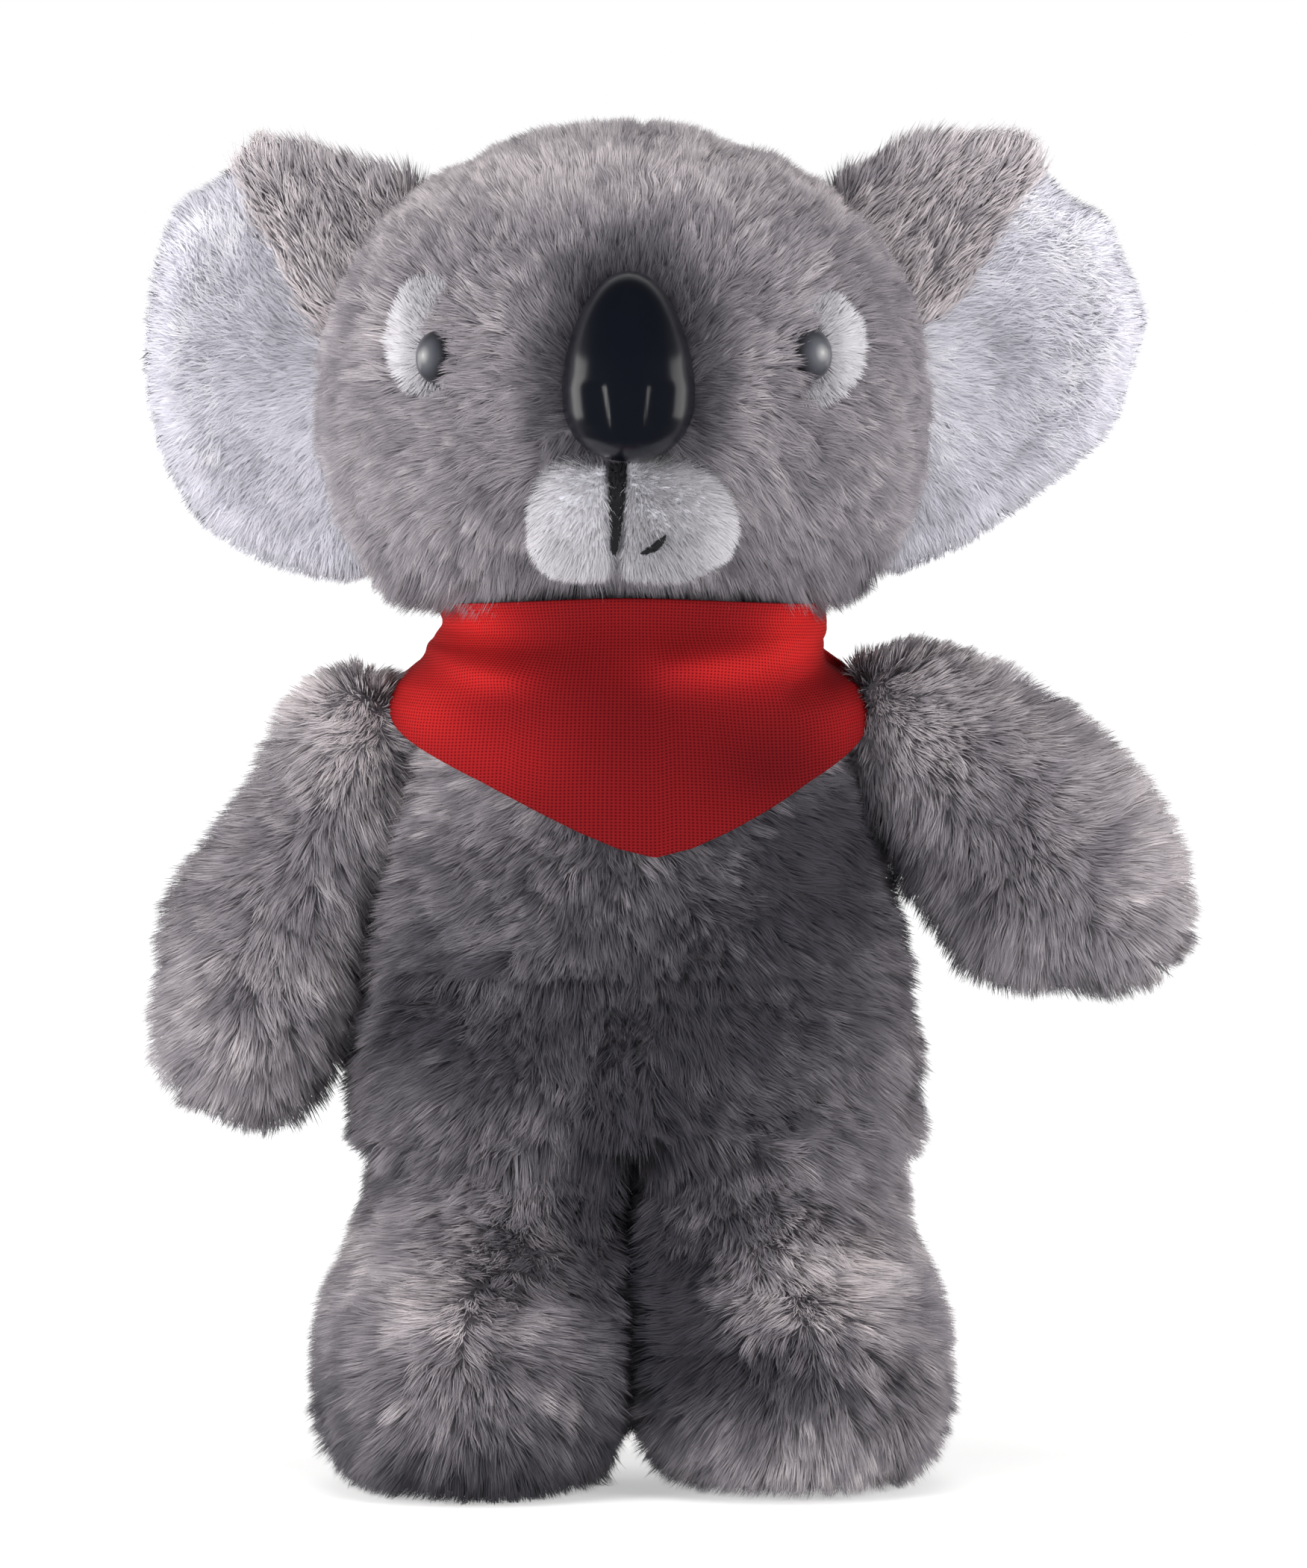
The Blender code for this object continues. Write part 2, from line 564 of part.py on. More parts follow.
knot = ball((0.8, 36.6, 190.4), (7.6, 4.6, 5.4), 10, 20)
for sx in (-1, 1):
    tail = []
    for x, z, w in ((4.0, 189.0, 2.6), (9.0, 184.0, 4.2), (14.0, 176.0, 5.4), (17.0, 168.5, 4.4), (18.5, 164.0, 1.4)):
        y = 38.2 + (190 - z) * 0.02
        tail.append([(0.8 + sx * (x - w), y - 0.9, z + 1.5), (0.8 + sx * (x + w), y - 0.9, z - 1.5),
                     (0.8 + sx * (x + w), y + 0.9, z - 1.5), (0.8 + sx * (x - w), y + 0.9, z + 1.5)])
    join(knot, loft("tail", tail))

# ---------------------------------------------------------------- names, materials, origins
COLOURS = {
    "grey_plush": ((0.26, 0.24, 0.25), 0.9), "white_plush": ((0.80, 0.79, 0.82), 0.9), "stuffing": ((0.90, 0.90, 0.88), 0.9),
    "red_knit": ((0.55, 0.02, 0.03), 0.85), "black_plastic": ((0.01, 0.01, 0.012), 0.15), "washer_plastic": ((0.75, 0.75, 0.73), 0.5),
    "black_thread": ((0.02, 0.02, 0.02), 0.8),
}
materials = {}


def material(slot, node):
    (red, green, blue), rough = COLOURS[slot]
    m = bpy.data.materials.new(node)
    m.use_nodes = True
    shader = m.node_tree.nodes["Principled BSDF"]
    shader.inputs["Base Color"].default_value = (red, green, blue, 1)
    shader.inputs["Roughness"].default_value = rough
    return m


ORIGIN = (0, 0, 0)
NODES = [
    ("torso_front_panel", torso_front_panel, "grey_plush", ORIGIN), ("torso_back_panel", torso_back_panel, "grey_plush", ORIGIN),
    ("torso_stuffing", torso_stuffing, "stuffing", ORIGIN), ("bandana", bandana, "red_knit", ORIGIN), ("bandana_knot", knot, "red_knit", ORIGIN),
    ("neck_stuffing", neck_stuffing, "stuffing", NECK),
    ("head_front_panel", head_front_panel, "grey_plush", NECK), ("head_back_panel", head_back_panel, "grey_plush", NECK),
    ("head_stuffing", head_stuffing, "stuffing", NECK), ("nose", nose, "black_plastic", NECK), ("nose_washer", nose_washer, "washer_plastic", NECK),
    ("muzzle_pad", muzzle_pad, "white_plush", NECK), ("philtrum_stitch", philtrum_stitch, "black_thread", NECK),
    ("mouth_stitch", mouth_stitch, "black_thread", NECK),
]
for side in ("left", "right"):
    cx = -28.0 if side == "right" else 2 * BODY_X + 28.0
    NODES += [
        (f"{side}_eye", eyes[side], "black_plastic", NECK), (f"{side}_eye_washer", eye_washers[side], "washer_plastic", NECK),
        (f"{side}_eye_patch", eye_patches[side], "white_plush", NECK),
        (f"{side}_ear_front", ears[side][0], "white_plush", EAR_HINGE[side]), (f"{side}_ear_back", ears[side][1], "grey_plush", EAR_HINGE[side]),
        (f"{side}_arm_skin", arms[side][0], "grey_plush", SHOULDER[side]), (f"{side}_arm_stuffing", arms[side][1], "stuffing", SHOULDER[side]),
        (f"{side}_leg_skin", legs[side][0], "grey_plush", (cx, HIP_Y, HIP_Z)), (f"{side}_leg_stuffing", legs[side][1], "stuffing", (cx, HIP_Y, HIP_Z)),
        (f"{side}_foot_sole", legs[side][2], "grey_plush", (cx, HIP_Y, HIP_Z)),
    ]
kept = {obj for _, obj, _, _ in NODES}
for obj in list(bpy.data.objects):
    if obj not in kept:
        bpy.data.objects.remove(obj)
move = Vector((SHIFT_X, SHIFT_Y, 0))
for name, obj, slot, origin in NODES:
    obj.name = name
    obj.data.name = name
    origin = Vector(origin) + (move if tuple(origin) != ORIGIN else Vector((0, 0, 0)))
    for v in obj.data.vertices:
        v.co = (v.co + move - origin) * 0.001
    obj.location = origin * 0.001
    obj.data.materials.clear()
    obj.data.materials.append(material(slot, name))
    bm = bmesh.new()
    bm.from_mesh(obj.data)
    bmesh.ops.triangulate(bm, faces=bm.faces)
    bm.to_mesh(obj.data)
    bm.free()
    obj.data.polygons.foreach_set("material_index", [0] * len(obj.data.polygons))
    obj.data.shade_smooth()
    obj.data.set_sharp_from_angle(angle=math.radians(40))
bpy.context.view_layer.update()
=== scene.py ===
import math

import bpy
import numpy as np
from mathutils import Matrix, Vector
from mathutils.kdtree import KDTree

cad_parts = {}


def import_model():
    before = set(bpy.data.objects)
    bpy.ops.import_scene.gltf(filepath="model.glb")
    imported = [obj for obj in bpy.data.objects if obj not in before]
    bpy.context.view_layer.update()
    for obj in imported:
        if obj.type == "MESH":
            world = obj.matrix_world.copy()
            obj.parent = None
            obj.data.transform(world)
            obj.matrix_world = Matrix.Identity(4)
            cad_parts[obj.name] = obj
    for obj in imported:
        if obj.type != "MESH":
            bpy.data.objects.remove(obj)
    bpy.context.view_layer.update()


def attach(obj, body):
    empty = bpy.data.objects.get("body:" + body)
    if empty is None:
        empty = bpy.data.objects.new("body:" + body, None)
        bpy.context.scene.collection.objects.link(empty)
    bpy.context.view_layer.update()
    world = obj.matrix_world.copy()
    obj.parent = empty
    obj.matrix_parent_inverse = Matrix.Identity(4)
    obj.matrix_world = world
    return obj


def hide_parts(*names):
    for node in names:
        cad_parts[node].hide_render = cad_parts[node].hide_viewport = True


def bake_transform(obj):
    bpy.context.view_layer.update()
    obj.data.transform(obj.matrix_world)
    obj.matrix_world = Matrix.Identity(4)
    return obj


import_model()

SHARE = 1.0

# Design millimetres, as in the part's source; world metres = (design + SHIFT) * 0.001
SHIFT = np.array([-11.09, 9.50, 0.0])
BODY_X, HEAD_X = 1.5, -0.5
HIP = {"right": (-28.0, -3.0, 80.0), "left": (31.0, -3.0, 80.0)}
SHOULDER = {"right": (-60.0, -3.0, 166.0), "left": (60.0, -3.0, 165.0)}
ARM_ANGLE = {"right": 19.0, "left": 50.0}
EAR_HINGE = {"right": (-60.0, 13.0, 246.0), "left": (60.0, 13.0, 246.0)}


def world(points):
    return (np.asarray(points, float) + SHIFT) * 0.001


def W(x, y, z):
    return tuple(world([x, y, z]))


rng = np.random.default_rng(20417)

# ---------------------------------------------------------------- fields: closed shapes as functions, negative inside
TORSO = [
    (78, 60.0, 40.5, 33.8), (90, 60.5, 41.0, 34.2),
    (97, 60.5, 41.3, 34.6), (106, 60.5, 42.0, 35.5), (118, 59.5, 42.5, 36.0), (130, 57.5, 42.5, 35.5),
    (142, 54.5, 42.0, 34.5), (154, 51.5, 40.5, 33.0), (166, 48.5, 38.5, 31.5), (176, 45.0, 36.5, 30.0),
    (184, 40.5, 33.5, 28.0), (190, 35.0, 30.0, 26.0), (194, 27.0, 24.0, 21.0), (195.4, 18.0, 16.0, 14.0), (196, 4, 4, 4),
]
HEAD = [
    (198.0, 8.0, 4.0, 6.0), (198.3, 28.0, 10.0, 17.0), (199.0, 38.0, 15.0, 23.0), (201.0, 46.5, 23.5, 29.0), (204.5, 52.5, 33.0, 35.5),
    (210.0, 58.0, 42.0, 41.5), (218.0, 62.0, 48.0, 47.0), (228.0, 64.3, 51.5, 50.0), (238.0, 64.5, 52.5, 51.0),
    (250.0, 63.3, 51.5, 50.0), (262.0, 60.0, 48.5, 47.0), (273.0, 53.5, 43.5, 42.0), (282.0, 44.5, 36.5, 35.5),
    (289.0, 33.5, 28.0, 27.0), (293.6, 22.0, 19.0, 18.0), (296.2, 11.0, 9.5, 9.0), (297.2, 2.0, 2.0, 2.0),
]
LEG = [
    (-0.4, -31.8, 24.0, 47.0, 24.0), (0, -32.0, 26.0, 50.0, 26.0), (2.4, -32.6, 29.6, 54.0, 29.4), (4.15, -33.0, 31.0, 56.0, 31.0),
    (9, -33.4, 32.8, 58.8, 32.8), (18, -33.6, 33.9, 61.0, 34.0), (30, -33.6, 34.0, 61.0, 34.6),
    (42, -32.6, 33.0, 57.0, 34.6), (52, -30.2, 30.6, 50.0, 34.2), (62, -28.6, 29.0, 43.4, 33.6),
    (72, -28.1, 28.5, 40.0, 33.2), (81, -28.0, 28.4, 39.0, 33.0), (95, -28.0, 28.2, 38.5, 32.5), (106, -27.6, 26.5, 35.0, 29.5),
    (114, -27.0, 19.0, 26.0, 22.0), (118, -27.0, 8.0, 11.0, 9.0),
]
ARM = {
    "right": [(-13.2, 3.0, 2.6, -1.5), (-11.6, 8.6, 7.6, -1.5), (-8.2, 12.6, 11.6, -1.6), (-3, 15.4, 14.0, -1.5), (4, 16.8, 15.6, -1.2), (14, 17.4, 16.6, -0.8),
              (27, 19.0, 17.4, 0.6), (38, 21.4, 18.2, 2.0), (47, 22.9, 18.8, 2.8), (58, 22.4, 19.0, 1.4), (68, 21.4, 18.6, 0.3), (78, 18.8, 16.6, -0.3),
              (84, 14.0, 12.6, -1.2), (87, 8.4, 7.8, -2.2), (88.2, 2.5, 2.5, -2.4)],
    "left": [(-17.5, 3.3, 2.8, 0.5), (-15.3, 10.2, 8.7, 0.7), (-10.3, 15.9, 13.5, 1.2), (-4.5, 19.2, 16.2, 1.8), (2, 21.5, 17.0, 2.2), (16, 25.0, 17.8, 2.6),
             (30, 27.3, 18.8, 1.2), (44, 28.4, 19.3, -1.2), (53, 25.6, 18.6, -0.6), (61, 20.8, 17.0, 0.6), (68, 16.0, 14.2, 0.5), (73, 10.0, 9.2, 0.1),
             (75.8, 5.0, 4.6, 0.1), (76.4, 1, 1, 0.1)],
}


def curves(table, smooth=2.5):
    """Each column of a table as a smooth function of its first column, through the squares so that ends stay round."""
    t = np.array(table, float)
    grid = np.arange(t[0, 0], t[-1, 0] + 0.25, 0.25)
    made = []
    k = np.exp(-0.5 * (np.arange(-24, 25) * 0.25 / smooth) ** 2)
    k /= k.sum()
    for c in range(1, t.shape[1]):
        signed = (t[:, c] < 0).any()
        v = np.interp(grid, t[:, 0], t[:, c] if signed else t[:, c] ** 2)
        pad = np.concatenate([2 * v[0] - v[24:0:-1], v, 2 * v[-1] - v[-2:-26:-1]])
        v = np.convolve(pad, k, "valid")
        made.append(v if signed else np.sqrt(np.maximum(v, 0.5)))
    return grid, made


def column_field(table, cx, y0=0.0, squareness=2.2):
    """Rings along z: columns half width, front, back, with cx a number or the table's second column."""
    grid, cols = curves(table)

    def field(p):
        z = p[:, 2]
        zc = np.clip(z, grid[0], grid[-1])
        values = [np.interp(zc, grid, c) for c in cols]
        if len(values) == 4:
            x0, w, f, b = values
        else:
            w, f, b = values
            x0 = cx
        dx = np.abs((p[:, 0] - x0) / w)
        y = p[:, 1] - y0
        d = np.where(y < 0, f, b)
        dy = np.abs(y / d)
        q = (dx ** squareness + dy ** squareness) ** (1 / squareness)
        side = (q - 1) * np.minimum(w, d)
        over = np.maximum(z - grid[-1], grid[0] - z)
        return np.where(over > 0, np.sqrt(np.maximum(side, 0) ** 2 + over ** 2), np.maximum(side, over))
    return field


def leg_field(side):
    table = []
    for z, cx, half, front, back in LEG:
        if side == "left":
            if z < 60:
                front = 39.0 + (front - 39.0) * 0.72
            cx = 2 * BODY_X - cx
        table.append((z, cx, half, front, back))
    if side == "left":
        t = np.array(table, float)
        t[:, 1] = -t[:, 1]       # kept signed for curves(), turned back below
        inner = column_field([tuple(r) for r in t], None, 0.0, 2.3)

        def field(p):
            q = p.copy()
            q[:, 0] = -q[:, 0]
            return inner(q)
        return field
    return column_field(table, None, 0.0, 2.3)


def arm_axes(side):
    sx = -1 if side == "right" else 1
    a = math.radians(ARM_ANGLE[side])
    return np.array(SHOULDER[side]), np.array([sx * math.sin(a), 0, -math.cos(a)]), np.array([sx * math.cos(a), 0, math.sin(a)])


def arm_field(side):
    pivot, along, across = arm_axes(side)
    grid, (cw, cd, cm) = curves(ARM[side])

    def field(p):
        r = p - pivot
        s = r @ along
        sc = np.clip(s, grid[0], grid[-1])
        w, d = np.interp(sc, grid, cw), np.interp(sc, grid, cd)
        q = np.sqrt(((r @ across - np.interp(sc, grid, cm)) / w) ** 2 + (r[:, 1] / d) ** 2)
        side_d = (q - 1) * np.minimum(w, d)
        over = np.maximum(s - grid[-1], grid[0] - s)
        return np.where(over > 0, np.sqrt(np.maximum(side_d, 0) ** 2 + over ** 2), np.maximum(side_d, over))
    return field


def smooth_min(a, b, k):
    h = np.clip(0.5 + 0.5 * (b - a) / k, 0, 1)
    return b * (1 - h) + a * h - k * h * (1 - h)


def gradient(field, p, e=0.4):
    g = np.empty_like(p)
    for i in range(3):
        d = np.zeros(3)
        d[i] = e
        g[:, i] = (field(p + d) - field(p - d)) / (2 * e)
    return g


def true_distance(field):
    """field divided by its slope, so that a level is a distance."""
    def f(p):
        g = np.linalg.norm(gradient(field, p), axis=1)
        return field(p) / np.maximum(g, 0.35)
    return f


def nets(field, low, high, h):
    """Surface nets of field = 0 in a box: vertices and quads, facing out."""
    axes = [np.arange(low[i], high[i] + h, h) for i in range(3)]
    n = [len(a) for a in axes]
    grid = np.stack(np.meshgrid(*axes, indexing="ij"), -1).reshape(-1, 3)
    g = np.concatenate([field(part) for part in np.array_split(grid, max(1, len(grid) // 200000))]).reshape(n)
    inside = g < 0
    total = np.zeros([m - 1 for m in n] + [3])
    count = np.zeros([m - 1 for m in n])
    corners = [(a, b, c) for a in (0, 1) for b in (0, 1) for c in (0, 1)]

    def at(v, c):
        return v[c[0]:n[0] - 1 + c[0], c[1]:n[1] - 1 + c[1], c[2]:n[2] - 1 + c[2]]
    for c in corners:
        for ax in range(3):
            if c[ax]:
                continue
            d = list(c)
            d[ax] = 1
            g0, g1 = at(g, c), at(g, d)
            cross = (g0 < 0) != (g1 < 0)
            t = np.where(cross, g0 / np.where(cross, g0 - g1, 1), 0)
            for k in range(3):
                off = c[k] + (t if k == ax else 0)
                total[..., k] += np.where(cross, off, 0)
            count += cross
    active = count > 0
    index = -np.ones(active.shape, int)
    index[active] = np.arange(active.sum())
    ijk = np.argwhere(active)
    verts = (ijk + total[active] / count[active][:, None]) * h + np.array(low)
    quads = []
    for ax in range(3):
        b, c = (ax + 1) % 3, (ax + 2) % 3
        lo = [slice(None)] * 3
        hi = [slice(None)] * 3
        lo[ax], hi[ax] = slice(0, -1), slice(1, None)
        a0, a1 = inside[tuple(lo)], inside[tuple(hi)]
        e = np.argwhere(a0 != a1)
        ok = (e[:, b] > 0) & (e[:, c] > 0) & (e[:, b] < n[b] - 1) & (e[:, c] < n[c] - 1)
        e = e[ok]
        out = a0[tuple(e.T)]

        def cell(db, dc):
            q = e.copy()
            q[:, b] -= db
            q[:, c] -= dc
            return index[tuple(q.T)]
        q = np.stack([cell(1, 1), cell(0, 1), cell(0, 0), cell(1, 0)], 1)
        q[~out] = q[~out][:, ::-1]
        quads.append(q)
    quads = np.concatenate(quads)
    quads = quads[(quads >= 0).all(1)]
    return verts, quads


def step(x, a, b):
    t = np.clip((x - a) / (b - a), 0, 1)
    return t * t * (3 - 2 * t)


def settle(field, verts, rounds=3):
    for _ in range(rounds):
        g = gradient(field, verts)
        m = np.maximum((g ** 2).sum(1), 0.1)
        verts = verts - g * np.clip(field(verts) / m, -2, 2)[:, None]
    return verts


# ---------------------------------------------------------------- meshes
def make_mesh(name, verts, faces, uv=None, smooth=True):
    """faces: (n, 4) or (n, 3) array, or a list of such arrays; verts in design mm."""
    groups = faces if isinstance(faces, list) else [faces]
    me = bpy.data.meshes.new(name)
    v = world(verts).astype(np.float32)
    me.vertices.add(len(v))
    me.vertices.foreach_set("co", v.ravel())
    loops = np.concatenate([np.asarray(g).ravel() for g in groups]).astype(np.int32)
    totals = np.concatenate([np.full(len(g), np.asarray(g).shape[1]) for g in groups]).astype(np.int32)
    starts = np.concatenate([[0], np.cumsum(totals)[:-1]]).astype(np.int32)
    me.loops.add(len(loops))
    me.loops.foreach_set("vertex_index", loops)
    me.polygons.add(len(totals))
    me.polygons.foreach_set("loop_start", starts)
    me.polygons.foreach_set("use_smooth", np.full(len(totals), smooth))
    me.update(calc_edges=True)
    if uv is not None:
        layer = me.uv_layers.new(name="OFBake")
        layer.data.foreach_set("uv", np.asarray(uv, np.float32).ravel())
    o = bpy.data.objects.new(name, me)
    bpy.context.scene.collection.objects.link(o)
    return o


def normals_of(verts, quads):
    n = np.zeros_like(verts)
    a, b, c, d = (verts[quads[:, i]] for i in range(4))
    f = np.cross(c - a, d - b)
    for i in range(4):
        np.add.at(n, quads[:, i], f)
    return n / np.maximum(np.linalg.norm(n, axis=1), 1e-9)[:, None]


def unit(v):
    return v / np.maximum(np.linalg.norm(v, axis=-1, keepdims=True), 1e-9)


def scatter(verts, quads, normals, per_mm2, keep=None):
    """Random points on a mesh, even over its area, with normals; keep(p, n) gives each a chance from 0 to 1."""
    tris = np.concatenate([quads[:, [0, 1, 2]], quads[:, [0, 2, 3]]])
    a, b, c = (verts[tris[:, i]] for i in range(3))
    area = np.linalg.norm(np.cross(b - a, c - a), axis=1) / 2
    count = int(area.sum() * per_mm2)
    pick = rng.choice(len(tris), count, p=area / area.sum())
    r1, r2 = np.sqrt(rng.random(count)), rng.random(count)
    w = np.stack([1 - r1, r1 * (1 - r2), r1 * r2], 1)[..., None]
    t = tris[pick]
    p = (verts[t] * w).sum(1)
    n = unit((normals[t] * w).sum(1))
    if keep is not None:
        chosen = rng.random(count) < keep(p, n)
        p, n = p[chosen], n[chosen]
    return p, n


def noise3(p, scale, seed=0):
    """Smooth value noise from -1 to 1."""
    q = p / scale + seed * 17.31
    i = np.floor(q).astype(np.int64)
    f = q - i
    f = f * f * (3 - 2 * f)
    total = 0
    for dx in (0, 1):
        for dy in (0, 1):
            for dz in (0, 1):
                h = (i[:, 0] + dx) * 374761393 + (i[:, 1] + dy) * 668265263 + (i[:, 2] + dz) * 2147483647 + seed * 974634777
                h = (h ^ (h >> 13)) * 1274126177
                h = (h ^ (h >> 16)) & 0xFFFFFF
                v = h / 0xFFFFFF * 2 - 1
                total = total + v * (f[:, 0] if dx else 1 - f[:, 0]) * (f[:, 1] if dy else 1 - f[:, 1]) * (f[:, 2] if dz else 1 - f[:, 2])
    return total


def nearest(points, centres):
    tree = KDTree(len(centres))
    for i, c in enumerate(centres):
        tree.insert(c, i)
    tree.balance()
    find = tree.find
    return np.fromiter((find(p)[1] for p in points), np.int64, len(points))


LONG = (np.array([0.0, 0.34, 0.70, 1.0]), np.array([0.85, 1.0, 0.72, 0.0]))
SHORT = (np.array([0.0, 0.52, 1.0]), np.array([0.9, 0.95, 0.0]))


def grow(p, n, flow, length, lift, density, kind=LONG, big=8.0, small=2.4, pull=(0.30, 0.55), wander=0.3, droop=0.2, spread=0.12,
         ragged=0.16, turn=0.5, swirl=24.0, seed=1, round_tuft=0.4, under=0.25, gravity=0.3, stray=1.0, waves=0.0, clump=None):
    """Strand paths from roots p, each leaning from its normal n towards flow by lift (radians). Tips gather into tufts
    of about big mm, and into finer ones of about small mm inside them.
    Returns paths, a shading normal for each strand, and tone parts: per tuft, per fine tuft, per strand, and which
    strands are undercoat."""
    N = len(p)
    stations = kind[0]
    flow = unit(flow)
    t = unit(flow - n * (flow * n).sum(1, keepdims=True))
    s = np.cross(n, t)
    length = np.broadcast_to(np.asarray(length, float), (N,))
    lift = np.broadcast_to(np.asarray(lift, float), (N,))
    n_big = max(6, int(N / (density * big ** 2)))
    n_small = max(12, int(N / (density * small ** 2)))
    cb = rng.choice(N, min(N, n_big), replace=False)
    cs = rng.choice(N, min(N, n_small), replace=False)
    own_b, own_s = nearest(p, p[cb]), nearest(p, p[cs])
    t_big, t_small = rng.normal(0, 1, len(cb)), rng.normal(0, 1, len(cs))
    waves = waves(p) if callable(waves) else waves
    angle = noise3(p, swirl, seed) * turn + rng.normal(0, 0.28 * stray, len(cb))[own_b] + rng.normal(0, wander, N)
    lean = np.clip(lift + waves * noise3(p, 9.0, seed + 3) + rng.normal(0, 0.13 * stray, len(cb))[own_b] + rng.normal(0, 0.12, N), 0.03, 1.5)
    below = rng.random(N) < under
    L = length * np.clip(1 + rng.normal(0, ragged, len(cb)), 0.6, 1.5)[own_b] * np.clip(rng.normal(1, spread, N), 0.5, 1.5) * np.where(below, 0.62, 1.0)
    tangent = t * np.cos(angle)[:, None] + s * np.sin(angle)[:, None]
    d = n * np.cos(lean)[:, None] + tangent * np.sin(lean)[:, None]
    down = np.array([0, 0, -1.0])
    P = np.empty((N, len(stations), 3))
    for k, x in enumerate(stations):
        bend = droop * x * x
        P[:, k] = p + L[:, None] * (d * x + tangent * (bend * 0.6) + down * (bend * gravity)) - n * 0.6 * (1 - x)
    for centres, own, amount in ((cb, own_b, pull[0]), (cs, own_s, pull[1])):
        guide = P[centres]
        amount = amount * np.clip(rng.normal(1, 0.3, N), 0, 1.5) * (1.0 if clump is None else clump(p))
        for k, x in enumerate(stations):
            w = np.clip(amount * x ** 1.3, 0, 0.95)[:, None]
            g = guide[own, k]
            P[:, k] += w * (g - P[:, k])
    # shading: the tuft's rounded top, and the strand's own upper side
    off = (p - p[cb][own_b]) / (big * 0.5)
    off2 = (p - p[cs][own_s]) / (small * 0.5)
    soft = n + round_tuft * np.clip(off, -1, 1) + 0.16 * np.clip(off2, -1, 1)
    soft = unit(soft)
    return P, soft, t_big[own_b], t_small[own_s], rng.normal(0, 1, N), below


def strands(name, P, width, soft, normal, tone, material, kind=LONG, floor=None, roll=0.4, loose=0.3, own_side=0.45):
    """Ribbons along the paths P as one mesh. OFBake's u holds the tone, 0 to 1, and its v the place along the strand."""
    N, S, _ = P.shape
    stations, widths = kind
    if floor is not None:
        P[..., 2] = np.maximum(P[..., 2], floor)
    T = np.empty_like(P)
    T[:, 1:-1] = P[:, 2:] - P[:, :-2]
    T[:, 0] = P[:, 1] - P[:, 0]
    T[:, -1] = P[:, -1] - P[:, -2]
    T = unit(T)
    angle = np.where(rng.random(N) < loose, rng.uniform(-math.pi / 2, math.pi / 2, N), rng.normal(0, roll, N))
    side0 = unit(np.cross(T[:, 1], normal) + 1e-6)
    up0 = np.cross(side0, T[:, 1])
    side0 = side0 * np.cos(angle)[:, None] + up0 * np.sin(angle)[:, None]
    # each ribbon shows its face to the side from which it is seen: the front, or behind
    toward = np.stack([np.zeros(len(P)), np.where(normal[:, 1] > 0.35, 0.8, -0.8), np.full(len(P), 0.1)], 1)
    side0 *= np.where((np.cross(side0, T[:, 1]) * (normal + toward)).sum(1) < 0, -1.0, 1.0)[:, None]
    per = 2 * (S - 1) + 1
    V = np.empty((N, per, 3), np.float32)
    M = np.empty((N, per, 3), np.float32)
    for k in range(S):
        top = unit(soft - T[:, k] * (soft * T[:, k]).sum(1, keepdims=True))
        shade = unit(soft * (1 - own_side) + top * own_side)
        if k == S - 1:
            V[:, -1], M[:, -1] = P[:, -1], shade
            continue
        side = unit(side0 - T[:, k] * (side0 * T[:, k]).sum(1, keepdims=True))
        half = side * (width * widths[k] * 0.5)[:, None]
        V[:, 2 * k], V[:, 2 * k + 1] = P[:, k] - half, P[:, k] + half
        M[:, 2 * k] = M[:, 2 * k + 1] = shade
    if floor is not None:
        V[..., 2] = np.maximum(V[..., 2], floor)
    base = (np.arange(N) * per)[:, None]
    quads = np.concatenate([base + np.array([[2 * k, 2 * k + 1, 2 * k + 3, 2 * k + 2]]) for k in range(S - 2)], 1).reshape(-1, 4)
    tris = base + np.array([[2 * (S - 2), 2 * (S - 2) + 1, per - 1]])
    tone = np.clip(tone, 0.01, 0.99)
    e = 0.006
    left, right = np.clip(tone - e, 0.001, 0.999), np.clip(tone + e, 0.001, 0.999)

    def uv(u, v):
        return np.stack([u, np.full(N, v * 0.98 + 0.01)], 1)
    uq = []
    for k in range(S - 2):
        a, b = stations[k], stations[k + 1]
        uq.append(np.stack([uv(left, a), uv(right, a), uv(right, b), uv(left, b)], 1))
    uq = np.stack(uq, 1).reshape(-1, 2)
    a = stations[S - 2]
    ut = np.stack([uv(left, a), uv(right, a), uv(tone, 1.0)], 1).reshape(-1, 2)
    o = make_mesh(name, V.reshape(-1, 3), [quads, tris], np.concatenate([uq, ut]))
    o.data.normals_split_custom_set_from_vertices(M.reshape(-1, 3))
    o.data.materials.append(material)
    return o


# ---------------------------------------------------------------- materials
def principled(name):
    m = bpy.data.materials.new(name)
    m.use_nodes = True
    return m, m.node_tree, m.node_tree.nodes["Principled BSDF"]


def ramp(tree, stops):
    node = tree.nodes.new("ShaderNodeValToRGB")
    r = node.color_ramp
    r.elements[0].position, r.elements[0].color = stops[0][0], (*stops[0][1], 1)
    r.elements[1].position, r.elements[1].color = stops[-1][0], (*stops[-1][1], 1)
    for at, colour in stops[1:-1]:
        e = r.elements.new(at)
        e.color = (*colour, 1)
    return node


